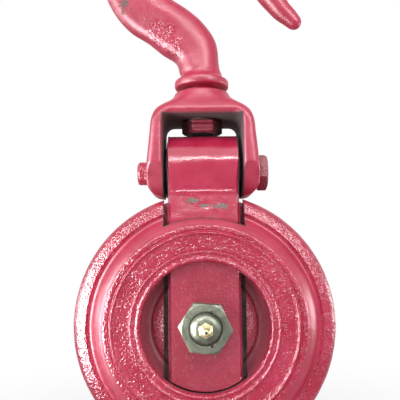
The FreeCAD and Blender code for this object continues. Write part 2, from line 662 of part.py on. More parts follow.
def make_yoke():
    """A forged clevis: its round hub swells into two legs that end round about the pivot."""
    body = new_body("yoke")
    sections = []

    def add(height, half_x, half_y, corner):
        sketch = new_sketch(body, f"Envelope{len(sections) + 1}", "XY_Plane", height)
        rounded_rectangle(sketch, half_x, half_y, corner)
        sections.append(sketch)

    hub = dim.yoke_hub_radius
    crown_foot = dim.yoke_underside - dim.crown_foot_drop
    shoulder = dim.yoke_half_width - dim.yoke_draft
    for down, out, forward, square in CROWN_STATIONS:
        add(dim.yoke_hub_top + (crown_foot - dim.yoke_hub_top) * down,
            hub + (shoulder - hub) * out,
            hub + (dim.yoke_half_depth - hub) * forward,
            hub * (1 - square) * 0.98 + dim.yoke_leg_corner * square)
    crown = body.newObject("PartDesign::AdditiveLoft", "Crown")
    crown.Profile = sections[0]
    crown.Sections = sections[1:]
    body.Tip = crown
    crown_end = sections[-1]
    foot_level = -dim.leg_foot_drop - 1
    for level in (dim.leg_break_height, foot_level):
        add(level, dim.yoke_half_width, dim.yoke_half_depth, dim.yoke_leg_corner)
    legs = body.newObject("PartDesign::AdditiveLoft", "Legs")
    legs.Profile = crown_end
    legs.Sections = sections[-2:]
    legs.Ruled = True
    body.Tip = legs

    half = dim.yoke_opening / 2
    corner = dim.window_corner
    below = foot_level - 5
    window = new_sketch(body, "WindowOutline", "XZ_Plane")
    draw(window, (
        (half, below),
        (half, dim.yoke_underside - corner, corner),
        (half - corner, dim.yoke_underside),
        (corner - half, dim.yoke_underside, corner),
        (-half, dim.yoke_underside - corner),
        (-half, below),
    ))
    pocket(body, "Window", window, dim.yoke_half_depth * 3, symmetric=True)

    def is_window_edge(edge):
        centre = middle(edge)
        inside = abs(centre.x) < half.number + 0.01 and centre.z < dim.yoke_underside.number + 0.01
        return inside and abs(centre.y) > dim.yoke_half_depth.number - 2 and centre.z > 0

    round_edges(body, "WindowEdges", dim.yoke_edge, is_window_edge)

    # The leg ends draw in below the pivot so that the shells can swing past them.
    side = new_sketch(body, "LegEnds", "YZ_Plane")
    depth = dim.yoke_half_depth
    beyond = depth * 1.5
    draw_in = dim.leg_end_radius * cosine(15)
    low = -(dim.leg_end_radius * sine(15))
    foot_half = root(dim.leg_end_radius * dim.leg_end_radius - dim.leg_foot_drop * dim.leg_foot_drop)
    draw(side, (
        (beyond, dim.leg_break_height),
        (depth, dim.leg_break_height),
        (draw_in, low, -dim.leg_end_radius),
        (foot_half, -dim.leg_foot_drop),
        (-foot_half, -dim.leg_foot_drop, -dim.leg_end_radius),
        (-draw_in, low),
        (-depth, dim.leg_break_height),
        (-beyond, dim.leg_break_height),
        (-beyond, below),
        (beyond, below),
    ))
    pocket(body, "LegEndCut", side, dim.yoke_half_width * 3, symmetric=True)

    foot = new_sketch(body, "FootCorners", "XZ_Plane")
    outer = dim.yoke_half_width
    for way in (1, -1):
        draw(foot, (
            ((outer - dim.foot_rounding) * way, -dim.leg_foot_drop, dim.foot_rounding * way),
            (outer * way, dim.foot_rounding - dim.leg_foot_drop),
            (outer * 1.2 * way, dim.foot_rounding - dim.leg_foot_drop),
            (outer * 1.2 * way, below),
            ((outer - dim.foot_rounding) * way, below),
        ))
    pocket(body, "FootCut", foot, dim.yoke_half_depth * 3, symmetric=True)

    bore = new_sketch(body, "ShankBore", "XY_Plane", dim.yoke_hub_top + 1)
    draw_circle(bore, 0, 0, dim.shank_diameter / 2 + dim.swivel_fit)
    pocket(body, "Bore", bore, dim.yoke_hub_top - dim.yoke_underside + 2)

    cross = new_sketch(body, "PivotBore", "YZ_Plane")
    draw_circle(cross, 0, 0, dim.pivot_diameter / 2 + dim.bolt_fit)
    pocket(body, "CrossBore", cross, dim.yoke_half_width * 3, symmetric=True)
    place(body, pivot_drop)
    return body


def make_pivot_bolt():
    body = new_body("pivot_bolt")
    radius = dim.pivot_diameter / 2
    face = dim.yoke_half_width + dim.face_gap
    end = -(dim.yoke_half_width + dim.pivot_end_length)
    profile = new_sketch(body, "ShankProfile", "XZ_Plane")
    draw(profile, (
        (end, 0),
        (face, 0),
        (face, radius),
        (end + dim.pivot_end_chamfer, radius),
        (end, radius - dim.pivot_end_chamfer),
    ))
    revolve(body, "Shank", profile, "H_Axis")
    head = new_sketch(body, "HeadHexagon", "YZ_Plane", face)
    draw_hexagon(head, dim.pivot_flats, dim.pivot_head_turn)
    pad(body, "Head", head, dim.pivot_head_height)
    chamfer_hexagon(body, "XZ_Plane", "H_Axis", dim.pivot_flats, face + dim.pivot_head_height, 1)
    place(body, pivot_drop)
    return body


def make_strap_spool():
    body = new_body("strap_spool")
    profile = new_sketch(body, "WallProfile", "XZ_Plane")
    inner = dim.pivot_diameter / 2 + dim.bolt_fit
    outer = strap_inner_radius - dim.seat_gap
    half = dim.yoke_opening / 2 - dim.spool_side_gap
    chamfer = dim.spool_chamfer
    draw(profile, (
        (-half, inner),
        (half, inner),
        (half, outer - chamfer),
        (half - chamfer, outer),
        (chamfer - half, outer),
        (-half, outer - chamfer),
    ))
    revolve(body, "Tube", profile, "H_Axis")
    place(body, pivot_drop)
    return body


def make_strap():
    """A flat bar bent over the spool; its arms lean out and run down to the centre bolt."""
    body = new_body("strap")
    face = dim.strap_arm_face
    bend = dim.strap_bend_radius
    inner_bend = strap_inner_radius
    inner_face = strap_inner_face
    pivot = pin_to_pivot
    crease = pivot - dim.strap_bend_drop
    arm_top = pivot - dim.strap_arm_drop
    lean = (face - bend) / (crease - arm_top)
    shift = dim.strap_thick * (root(1 + lean * lean) - 1) / lean
    end = -dim.strap_end_radius
    side = new_sketch(body, "SideProfile", "YZ_Plane")
    draw(side, (
        (-face, end),
        (-inner_face, end),
        (-inner_face, arm_top - shift),
        (-inner_bend, crease - shift),
        (-inner_bend, pivot, -inner_bend),
        (0, pivot + inner_bend, -inner_bend),
        (inner_bend, pivot),
        (inner_bend, crease - shift),
        (inner_face, arm_top - shift),
        (inner_face, end),
        (face, end),
        (face, arm_top),
        (bend, crease),
        (bend, pivot, bend),
        (0, pivot + bend, bend),
        (-bend, pivot),
        (-bend, crease),
        (-face, arm_top),
    ))
    pad(body, "Bar", side, dim.strap_width, symmetric=True)

    def is_crease(edge):
        centre = middle(edge)
        across = abs(edge.tangentAt(edge.FirstParameter).x) > 0.99
        return across and near(centre.z, crease) and near(abs(centre.y), bend)

    round_edges(body, "Creases", dim.strap_crease, is_crease)

    half = dim.strap_width / 2

    def is_rolled_edge(edge):
        return near(abs(edge.BoundBox.XMin), half) and near(edge.BoundBox.XMin, edge.BoundBox.XMax)

    round_edges(body, "RolledEdges", dim.strap_edge, is_rolled_edge)

    ends = new_sketch(body, "RoundEnds", "XZ_Plane")
    drop = root(dim.strap_end_radius * dim.strap_end_radius - half * half)
    below = dim.strap_end_radius * 1.1
    beside = half * 1.2
    for way in (1, -1):
        draw(ends, (
            (half * way, -drop, -dim.strap_end_radius * way),
            (0, -dim.strap_end_radius),
            (0, -below),
            (beside * way, -below),
            (beside * way, -drop),
        ))
    pocket(body, "EndCut", ends, dim.strap_arm_face * 3, symmetric=True)

    hole = new_sketch(body, "PinHole", "XZ_Plane")
    draw_circle(hole, 0, 0, dim.centre_diameter / 2 + dim.bolt_fit)
    pocket(body, "Hole", hole, dim.strap_arm_face * 3, symmetric=True)
    place(body, pin_drop)
    return body


def make_shell(label, way):
    """One dished casting; way is -1 for the front and 1 for the rear."""
    body = new_body(label)
    centre_hole = dim.centre_diameter / 2 + dim.bolt_fit
    ceiling = ring_face - dim.ring_wall
    lip = ring_face + dim.ring_lip
    crease = shell_radius - dim.rim_crease_inset
    step = dim.rim_crease_step
    valley = shell_radius - dim.valley_inset
    ring = shell_radius - dim.ring_inset
    outer_lip = ring - dim.outer_lip_inset
    bead = dim.lip_half_width
    opening = dim.opening_radius
    inner_lip = opening + dim.inner_lip_offset
    flow = dim.cast_rounding
    outline = (
        (shell_radius, dim.shell_inner_face),
        (shell_radius, dim.rim_edge_face, dim.rim_bead_bend),
        (shell_radius - dim.rim_bead_inset, dim.rim_bead_face, dim.rim_bead_bend),
        (crease, dim.valley_face + step),
        (crease - step, dim.valley_face),
        (valley, dim.valley_face, -flow * 2),
        (valley - flow, dim.valley_face + flow * 1.5),
        (ring + flow / 2, ring_face - flow, flow * 1.5),
        (ring - flow, ring_face),
        (outer_lip + bead * 2, ring_face),
        (outer_lip + bead * 1.5, ring_face - dim.lip_groove),
        (outer_lip + bead, ring_face, bead * 1.25),
        (outer_lip, lip, bead * 1.25),
        (outer_lip - bead, ring_face),
        (inner_lip + bead, ring_face, bead * 1.4),
        (inner_lip, lip, bead * 1.4),
        (opening, ring_face),
        (opening, dim.web_face + flow),
        (opening - flow, dim.web_face),
        (dim.boss_radius, dim.web_face),
        (dim.boss_crown_radius + flow / 2, dim.boss_crown_face - flow / 2),
        (dim.boss_crown_radius - flow / 2, dim.boss_crown_face),
        (centre_hole, dim.boss_crown_face),
        (centre_hole, hub_face),
        (dim.hub_pad_radius, hub_face),
        (dim.hub_pad_radius + flow, dim.web_face - dim.web_thick),
        (opening + dim.ring_wall, dim.web_face - dim.web_thick),
        (opening + dim.ring_wall, ceiling),
        (ring - dim.ring_wall, ceiling),
        (valley - dim.shell_wall, dim.shell_inner_face),
    )
    profile = new_sketch(body, "DishProfile", "YZ_Plane")
    corners = []
    for radius, height, *bend in outline:
        turned = [each * -way for each in bend]
        corners.append((height * way, radius, *turned))
    draw(profile, corners)
    revolve(body, "Dish", profile, "H_Axis")

    # The window lets the strap in from above, behind the ring and in front of the boss.
    window = new_sketch(body, "WindowSide", "YZ_Plane")
    above = shell_radius * 1.05
    floor = strap_inner_face
    slot_floor = hub_face - dim.web_thick
    boss_top = dim.boss_radius + flow
    foot = -(opening + 0.5)
    draw(window, (
        (floor * way, foot),
        (floor * way, boss_top),
        (slot_floor * way, boss_top + flow),
        (slot_floor * way, above),
        (ceiling * way, above),
        (ceiling * way, foot),
    ))
    pocket(body, "Window", window, dim.strap_width + dim.window_side_gap * 2, symmetric=True)
    place(body, pin_drop)
    return body


def make_sheave():
    body = new_body("sheave")
    profile = new_sketch(body, "RimProfile", "YZ_Plane")
    bottom = dim.sheave_radius - dim.groove_depth
    lean = dim.groove_flank_angle
    flank_x = dim.rope_radius * cosine(lean)
    flank_r = bottom + dim.rope_radius - dim.rope_radius * sine(lean)
    mouth = flank_x + (dim.sheave_radius - flank_r) * tangent(lean)
    rim_inner = bottom - dim.sheave_rim_wall
    rim = dim.sheave_half_rim
    rim_slope = dim.sheave_rim_slope
    web = dim.sheave_half_web
    hub = dim.sheave_half_hub
    edge = dim.sheave_edge
    bend = dim.sheave_web_bend
    half_section = (
        (flank_x, flank_r),
        (mouth, dim.sheave_radius),
        (rim - edge, dim.sheave_radius, -edge),
        (rim, dim.sheave_radius - edge),
        (rim, rim_inner + rim_slope),
        (rim - rim_slope, rim_inner),
        (web + bend, rim_inner, bend),
        (web, rim_inner - bend),
        (web, dim.sheave_hub_radius + bend, bend),
        (web + bend, dim.sheave_hub_radius),
        (hub, dim.sheave_hub_radius - edge),
        (hub, dim.bush_radius),
    )
    # The other half mirrors it; an arc's bend stands with the corner where it starts.
    mirrored = []
    for number in reversed(range(len(half_section))):
        across, radius = half_section[number][:2]
        bend_before = half_section[number - 1][2:] if number > 0 else (dim.rope_radius,)
        mirrored.append((-across, radius, *bend_before))
    draw(profile, ((0, bottom, dim.rope_radius), *half_section, *mirrored))
    revolve(body, "Wheel", profile, "H_Axis")
    place(body, pin_drop)
    return body


def make_sheave_bushing():
    body = new_body("sheave_bushing")
    profile = new_sketch(body, "WallProfile", "YZ_Plane")
    inner = dim.sleeve_radius + dim.running_fit
    outer = dim.bush_radius
    half = dim.sheave_half_hub
    groove_half = dim.grease_groove_width / 2
    groove_radius = inner + dim.grease_groove_depth
    draw(profile, (
        (-half, inner),
        (-groove_half, inner),
        (-groove_half, groove_radius),
        (groove_half, groove_radius),
        (groove_half, inner),
        (half, inner),
        (half, outer),
        (-half, outer),
    ))
    revolve(body, "Bush", profile, "H_Axis")
    place(body, pin_drop)
    return body


def make_centre_sleeve():
    body = new_body("centre_sleeve")
    profile = new_sketch(body, "WallProfile", "YZ_Plane")
    inner = dim.centre_diameter / 2 + dim.bolt_fit
    half = hub_face
    draw(profile, (
        (-half, inner),
        (half, inner),
        (half, dim.sleeve_radius),
        (-half, dim.sleeve_radius),
    ))
    revolve(body, "Sleeve", profile, "H_Axis")
    hole = new_sketch(body, "GreaseHole", "XY_Plane")
    draw_circle(hole, 0, 0, dim.grease_bore / 2)
    pocket(body, "CrossHole", hole, dim.sleeve_radius * 3, symmetric=True)
    place(body, pin_drop)
    return body


def make_thrust_washer(label, way):
    body = new_body(label)
    profile = new_sketch(body, "WallProfile", "YZ_Plane")
    inner = dim.sleeve_radius + dim.thrust_washer_fit
    outer = dim.sheave_hub_radius - dim.thrust_washer_step
    near_face = dim.sheave_half_hub + dim.thrust_gap
    far_face = near_face + dim.thrust_washer_thick
    draw(profile, (
        (near_face * way, inner),
        (far_face * way, inner),
        (far_face * way, outer),
        (near_face * way, outer),
    ))
    revolve(body, "Washer", profile, "H_Axis")
    place(body, pin_drop)
    return body


def make_centre_bolt():
    body = new_body("centre_bolt")
    radius = dim.centre_diameter / 2
    seat = strap_outside
    end = seat + dim.centre_nut_height + dim.centre_end_length
    chamfer = dim.centre_end_chamfer
    fitting_hole = dim.fitting_thread / 2 + dim.screw_fit
    hole_end = end - dim.fitting_thread_length - dim.fitting_hole_spare
    passage = dim.grease_bore / 2
    passage_end = dim.grease_bore * 1.2
    profile = new_sketch(body, "ShankProfile", "YZ_Plane")
    draw(profile, (
        (-end, fitting_hole),
        (-end, radius - chamfer),
        (chamfer - end, radius),
        (seat, radius),
        (seat, 0),
        (-passage_end, 0),
        (-passage_end, passage),
        (-hole_end, passage),
        (-hole_end, fitting_hole),
    ))
    revolve(body, "Shank", profile, "H_Axis")
    head = new_sketch(body, "HeadHexagon", "XZ_Plane", -(seat + dim.centre_head_height))
    draw_hexagon(head, dim.centre_flats, dim.centre_head_turn)
    pad(body, "Head", head, dim.centre_head_height)
    chamfer_hexagon(body, "YZ_Plane", "H_Axis", dim.centre_flats, seat + dim.centre_head_height, 1)
    hole = new_sketch(body, "GreaseHole", "XY_Plane")
    draw_circle(hole, 0, 0, passage)
    pocket(body, "CrossHole", hole, dim.centre_diameter * 1.2, symmetric=True)
    place(body, pin_drop)
    return body


def make_centre_nut():
    body = new_body("centre_nut")
    seat = strap_outside
    sketch = new_sketch(body, "Hexagon", "XZ_Plane", seat)
    draw_hexagon(sketch, dim.centre_flats, -dim.centre_nut_turn)
    draw_circle(sketch, 0, 0, dim.centre_diameter / 2 + dim.screw_fit)
    pad(body, "Block", sketch, dim.centre_nut_height)
    chamfer_hexagon(body, "YZ_Plane", "H_Axis", dim.centre_flats, -(seat + dim.centre_nut_height), -1)
    place(body, pin_drop)
    return body


# Outer end of the centre bolt, where the fitting's hexagon seats, and the places outward of it.
fitting_base = strap_outside + dim.centre_nut_height + dim.centre_end_length + dim.face_gap
fitting_hex_top = fitting_base + dim.fitting_hex_height
fitting_tip = fitting_hex_top + dim.fitting_height


def make_fitting_body():
    body = new_body("fitting_body")
    thread_end = fitting_base - dim.fitting_thread_length
    neck = dim.fitting_neck / 2
    head = dim.fitting_head / 2
    thread = dim.fitting_thread / 2
    core = dim.fitting_flats / 2 * 0.86
    passage = dim.fitting_passage / 2
    inlet = dim.fitting_inlet / 2
    ball_end = dim.fitting_ball_length
    mouth = dim.fitting_mouth_length
    profile = new_sketch(body, "NippleProfile", "YZ_Plane")
    draw(profile, (
        (-thread_end, passage),
        (-thread_end, thread * 0.8),
        (-(thread_end + thread * 0.2), thread),
        (-(fitting_base + 1), thread),
        (-(fitting_base + 1), core),
        (-fitting_hex_top, core),
        (-(fitting_hex_top + core - neck), neck),
        (-(fitting_tip - ball_end), neck),
        (-(fitting_tip - ball_end + head - neck), head),
        (-(fitting_tip - mouth), head),
        (-fitting_tip, inlet * 2),
        (-fitting_tip, inlet),
        (-(fitting_tip - mouth / 2), inlet),
        (-(fitting_tip - mouth), passage),
    ))
    revolve(body, "Nipple", profile, "H_Axis")
    hexagon = new_sketch(body, "Hexagon", "XZ_Plane", fitting_base)
    draw_hexagon(hexagon, dim.fitting_flats, dim.fitting_turn)
    draw_circle(hexagon, 0, 0, passage * 1.3)
    pad(body, "Wrench", hexagon, dim.fitting_hex_height)
    place(body, pin_drop)
    return body


def make_fitting_ball():
    ball = doc.addObject("Part::Sphere", "fitting_ball")
    ball.Label = "fitting_ball"
    ball.setExpression("Radius", (dim.check_ball / 2).words)
    seat = fitting_tip - dim.fitting_mouth_length - dim.check_ball_gap
    ball.setExpression("Placement.Base.y", (-(seat - dim.check_ball / 2)).words)
    place(ball, pin_drop)
    return ball


def make_fitting_spring():
    """The spring's wire wound on a helix about Y, behind the ball."""
    coil_radius = dim.fitting_passage / 2 - dim.spring_wire / 2 - dim.spring_side_gap
    coil_length = dim.spring_pitch * dim.spring_turns
    ball_foot = fitting_tip - dim.fitting_mouth_length - dim.check_ball_gap - dim.check_ball
    start = ball_foot - dim.spring_side_gap - dim.spring_wire / 2 - coil_length
    helix = Part.makeHelix(dim.spring_pitch.number, coil_length.number, coil_radius.number)
    wire_start = FreeCAD.Vector(coil_radius.number, 0, 0)
    section = Part.Wire([Part.Circle(wire_start, Y_AXIS, dim.spring_wire.number / 2).toShape()])
    coil = Part.Wire(helix.Edges).makePipeShell([section], True, True)
    spring = doc.addObject("Part::Feature", "fitting_spring")
    spring.Label = "fitting_spring"
    spring.Shape = coil
    spring.Placement = FreeCAD.Placement(
        FreeCAD.Vector(0, -start.number, -pin_drop.number), FreeCAD.Rotation(X_AXIS, 90))
    return spring


pieces = [
    make_hook(),
    make_hook_nut(),
    make_hook_nut_pin(),
    make_swivel_washer(),
    make_yoke(),
    make_pivot_bolt(),
    make_strap_spool(),
    make_strap(),
    make_shell("front_shell", -1),
    make_shell("rear_shell", 1),
    make_sheave(),
    make_sheave_bushing(),
    make_centre_sleeve(),
    make_thrust_washer("thrust_washer_front", -1),
    make_thrust_washer("thrust_washer_rear", 1),
    make_centre_bolt(),
    make_centre_nut(),
    make_fitting_body(),
    make_fitting_ball(),
    make_fitting_spring(),
]

doc.recompute()
for item in doc.Objects:
    if "Invalid" in item.State or "Error" in item.State:
        raise RuntimeError(f"{item.Label} did not build: {item.State}")
for piece in pieces:
    if piece.Shape.isNull() or not piece.Shape.isValid():
        raise RuntimeError(f"{piece.Label} has no valid shape")
for piece in pieces:
    piece.Shape.exportStep(f"parts/{piece.Label}.step")
    box = piece.Shape.BoundBox
    print(piece.Label, len(piece.Shape.Solids), "solid", round(piece.Shape.Volume),
          [round(v, 1) for v in (box.XMin, box.XMax, box.YMin, box.YMax, box.ZMin, box.ZMax)])
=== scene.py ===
import math

import bmesh
import bpy
from mathutils import Matrix, Vector, noise


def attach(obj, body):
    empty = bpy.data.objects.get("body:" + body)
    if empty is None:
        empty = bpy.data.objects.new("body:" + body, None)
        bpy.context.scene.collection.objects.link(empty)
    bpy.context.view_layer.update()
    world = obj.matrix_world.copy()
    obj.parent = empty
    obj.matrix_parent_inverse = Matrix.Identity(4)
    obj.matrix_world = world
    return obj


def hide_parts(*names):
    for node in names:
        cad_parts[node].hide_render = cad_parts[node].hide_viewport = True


# Swivel hook pulley block. The shapes below are worked in millimetres, in the frame of the packed
# model: the origin is the seat of the hook's bowl, +Z is up and the grease fitting faces -Y.
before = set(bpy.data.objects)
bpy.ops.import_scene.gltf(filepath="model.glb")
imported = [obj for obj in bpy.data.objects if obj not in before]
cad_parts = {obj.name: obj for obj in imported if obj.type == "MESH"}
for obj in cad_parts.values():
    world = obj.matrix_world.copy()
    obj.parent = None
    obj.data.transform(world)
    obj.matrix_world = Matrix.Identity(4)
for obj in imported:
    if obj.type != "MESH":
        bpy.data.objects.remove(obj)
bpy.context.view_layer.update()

MM = 0.001

# Levels of the pivot bolt's axis, of the centre bolt's (the pin) and of the shank's end.
PIVOT_Z = -238.0
PIN_Z = -362.0
SHANK_END_Z = -204.6

# The strap's bar: half its width and thickness, and the rounding of its edges.
STRAP_HALF = 28.5
STRAP_HALF_THICK = 5.0
STRAP_ROUNDING = 2.4

# The centre bolt and its nut: the radius of the bolt, the flats of both hexagons, and along the pin's
# axis the strap's outer faces, the nut's face and the head's.
CENTRE_RADIUS = 12.0
CENTRE_FLATS = 36
SEAT_Y = 37.05
NUT_FACE_Y = 49.55
HEAD_FACE_Y = 52.05

# The pivot bolt: its radius, the underside and the face of its head, and where its thread starts.
PIVOT_RADIUS = 10.0
PIVOT_SEAT_X = 46.25
PIVOT_HEAD_X = 54.75
PIVOT_THREAD_X = -46.3

# Colours are linear.
CRIMSON = (0.50, 0.016, 0.064, 1)
CRIMSON_THIN = (0.58, 0.034, 0.096, 1)
CRIMSON_DEEP = (0.27, 0.009, 0.032, 1)
# Pale flecks in the enamel: partly dust, partly painted glints where it sparkles.
DUST_AND_GLINT = (0.76, 0.46, 0.50, 1)
BARE_IRON = (0.075, 0.075, 0.055, 1)
# Near-black: painted shade in hollows, recesses and gaps, and grime on dark metal parts.
GRIME_AND_SHADE = (0.045, 0.026, 0.026, 1)
# A grey film over the enamel; on the boss it is partly a painted highlight.
GREY_FILM = (0.30, 0.17, 0.18, 1)
ZINC = (0.13, 0.138, 0.108, 1)
ZINC_DARK = (0.05, 0.053, 0.04, 1)
ZINC_BLOOM = (0.30, 0.305, 0.25, 1)
YELLOW_ZINC = (0.62, 0.58, 0.34, 1)
YELLOW_ZINC_DARK = (0.24, 0.21, 0.09, 1)
BRONZE = (0.50, 0.30, 0.12, 1)
BRONZE_DARK = (0.20, 0.11, 0.045, 1)
STEEL = (0.30, 0.30, 0.29, 1)
STEEL_DARK = (0.10, 0.095, 0.09, 1)
WHITE = (1, 1, 1, 1)
PALE = (0.9, 0.9, 0.9, 1)

# The enamel: the sizes of its patches, lumps, sand grains, dust and glint flecks and pits, and how
# strongly it shines.
PATCH_SIZE = 24
LUMP_SIZE = 5.5
GRAIN_SIZE = 1.35
FLECK_SIZE = 1.3
PIT_SPACING = 3.0
ENAMEL_SHINE = 0.42


# Materials

class Value:
    """A number that changes over a surface: a shader socket that takes part in plain sums."""

    def __init__(self, tree, socket):
        self.tree = tree
        self.socket = socket

    def _sum(self, operation, first, second):
        node = self.tree.nodes.new("ShaderNodeMath")
        node.operation = operation
        for slot, term in zip(node.inputs, (first, second)):
            if isinstance(term, Value):
                self.tree.links.new(term.socket, slot)
            else:
                slot.default_value = term
        return Value(self.tree, node.outputs[0])

    def __add__(self, other):
        return self._sum("ADD", self, other)

    __radd__ = __add__

    def __sub__(self, other):
        return self._sum("SUBTRACT", self, other)

    def __rsub__(self, other):
        return self._sum("SUBTRACT", other, self)

    def __mul__(self, other):
        return self._sum("MULTIPLY", self, other)

    __rmul__ = __mul__

    def __truediv__(self, other):
        return self._sum("DIVIDE", self, other)

    def __pow__(self, other):
        return self._sum("POWER", self, other)

    def least(self, other):
        return self._sum("MINIMUM", self, other)

    def most(self, other):
        return self._sum("MAXIMUM", self, other)

    def size(self):
        return self._sum("ABSOLUTE", self, 0.0)

    def sine(self):
        return self._sum("SINE", self, 0.0)


class Finish:
    """One material and the nodes that make it."""

    def __init__(self, name):
        self.material = bpy.data.materials.new(name)
        self.material.use_nodes = True
        self.tree = self.material.node_tree
        self.tree.nodes.clear()
        self.spot = self.node("ShaderNodeTexCoord").outputs["Object"]

    def node(self, kind, settings=None, sockets=None):
        """A node of that kind; its settings come first, then the values or links of its sockets."""
        node = self.tree.nodes.new(kind)
        for name, setting in (settings or {}).items():
            setattr(node, name, setting)
        for name, value in (sockets or {}).items():
            socket = node.inputs[name]
            if isinstance(value, Value):
                self.tree.links.new(value.socket, socket)
            elif isinstance(value, bpy.types.NodeSocket):
                self.tree.links.new(value, socket)
            else:
                socket.default_value = value
        return node

    def value(self, node, output=0):
        return Value(self.tree, node.outputs[output])

    def grain(self, size, detail=3.0, roughness=0.55):
        """Cloudy noise from 0 to 1 whose lumps are about that many millimetres."""
        return self.value(self.node("ShaderNodeTexNoise", None, {
            "Vector": self.spot, "Scale": 1 / (size * MM), "Detail": detail, "Roughness": roughness}))

    def cells(self, size):
        """Distance from the nearest of many scattered points, which lie about that far apart."""
        return self.value(self.node("ShaderNodeTexVoronoi", None, {
            "Vector": self.spot, "Scale": 1 / (size * MM)}))

    def step(self, value, low, high):
        """0 below the low value and 1 above the high one, with a soft change between."""
        return self.value(self.node("ShaderNodeMapRange", {"interpolation_type": "SMOOTHSTEP"}, {
            "Value": value, "From Min": low, "From Max": high}))

    def drop(self, value, low, high):
        """1 below the low value and 0 above the high one, with a soft change between."""
        return 1 - self.step(value, low, high)

    def band(self, value, rise, fall):
        """1 between a soft rise and a soft fall, each given by where it starts and ends."""
        return self.step(value, *rise) * self.drop(value, *fall)

    def wave(self, turns):
        """Even ribs, from -1 to 1, one for each whole number."""
        return (turns * math.tau).sine()

    def mix(self, share, first, second):
        """The first colour where the share is 0, and the second where it is 1."""
        node = self.node("ShaderNodeMix", {"data_type": "RGBA"}, {0: share, 6: first, 7: second})
        return node.outputs[2]

    def edges(self):
        """About a half on plain faces, more on sharp edges and less in hollow corners."""
        return self.node("ShaderNodeNewGeometry").outputs["Pointiness"]

    def parts(self):
        """The spot's x, y and z, in millimetres."""
        node = self.node("ShaderNodeSeparateXYZ", None, {0: self.spot})
        return [self.value(node, number) * (1 / MM) for number in range(3)]

    def from_pin(self):
        """Distance from the centre bolt's axis, in millimetres."""
        x, _, z = self.parts()
        z = z - PIN_Z
        return (x * x + z * z) ** 0.5

    def away_from(self, middle, half_sizes):
        """0 at a place, given in millimetres, and 1 on an ellipsoid of those half-sizes about it."""
        x, y, z = [(term - centre) / half
                   for term, centre, half in zip(self.parts(), middle, half_sizes)]
        return (x * x + y * y + z * z) ** 0.5

    def ragged(self, places, unevenness, low, high):
        """1 in ragged patches about the places, each a middle and half-sizes, and 0 elsewhere."""
        share = 0.0
        for middle, half_sizes in places:
            spread = unevenness + self.away_from(middle, half_sizes)
            share = self.drop(spread, low, high).most(share)
        return share

    def bump(self, height):
        """The normal of a surface that stands that many millimetres high."""
        node = self.node("ShaderNodeBump", None, {"Height": height, "Distance": MM, "Strength": 1.0})
        return node.outputs[0]

    def surface(self, **sockets):
        shader = self.node("ShaderNodeBsdfPrincipled", None, {
            name.replace("_", " "): value for name, value in sockets.items()})
        self.node("ShaderNodeOutputMaterial", None, {0: shader.outputs[0]})
        return self.material


def enamel(name, rough, shade_mask=None, chips=(), flecked=(), ribs=None, satin=None, film=None):
    """Crimson enamel over iron.

    rough, the shade mask, satin and film each take the finish and say how rough the enamel is there,
    where it is painted dark as painted shade, how dull it is and how grey. chips and flecked are patches
    worn bare or left rough, and ribs is the spacing of a thread's ribs.
    """
    finish = Finish(name)
    coarse = rough(finish)
    flecks = finish.ragged(flecked, finish.grain(9, 4) * 1.1, 1.0, 1.6)
    if flecked:
        coarse = coarse.most(flecks * 0.8)
    broad = finish.grain(PATCH_SIZE, 2)
    lumps = finish.grain(LUMP_SIZE, 2)
    grains = finish.grain(GRAIN_SIZE, 1, 0.4)
    pits = finish.drop(finish.cells(PIT_SPACING), 0.12, 0.42)

    paint = finish.mix(finish.step(broad, 0.35, 0.70), CRIMSON, CRIMSON_THIN)
    paint = finish.mix(finish.step(lumps, 0.58, 0.80) * 0.30, paint, CRIMSON_DEEP)
    paint = finish.mix(pits * coarse * 0.40, paint, CRIMSON_DEEP)
    # Pale flecks where the enamel is rough: partly dust, partly painted glints.
    dust_and_glint = finish.step(finish.grain(FLECK_SIZE, 2), 0.54, 0.66) * finish.step(lumps, 0.36, 0.60)
    paint = finish.mix((dust_and_glint * coarse * 0.42).least(1.0), paint, DUST_AND_GLINT)
    if film:
        paint = finish.mix(film(finish), paint, GREY_FILM)
    # Painted shade: hollow corners, and all that the shade mask covers, are painted dark.
    painted_shade = finish.drop(finish.edges(), 0.40, 0.485) * 0.6
    if shade_mask:
        painted_shade = painted_shade.most(shade_mask(finish))
    paint = finish.mix(painted_shade, paint, GRIME_AND_SHADE)
    chipped = finish.ragged(chips, finish.grain(2.6, 4, 0.7) * 3.2, 2.05, 2.25)
    if chips:
        paint = finish.mix(chipped * 0.9, paint, BARE_IRON)

    height = grains * (coarse * 0.66 + 0.03) + lumps * (coarse * 0.55 + 0.12) + broad * 0.7
    height = height - pits * coarse * 0.30 - chipped * 0.18
    if ribs:
        _, _, z = finish.parts()
        height = height + finish.wave(z / ribs) * 0.3
    gloss = finish.grain(9, 2) * 0.14 + painted_shade * 0.6 + chipped * 0.35 + 0.10
    if satin:
        gloss = gloss + satin(finish) * (1 - flecks)
    return finish.surface(
        Base_Color=paint, Roughness=gloss, Metallic=0.0, Normal=finish.bump(height),
        Specular_IOR_Level=ENAMEL_SHINE)


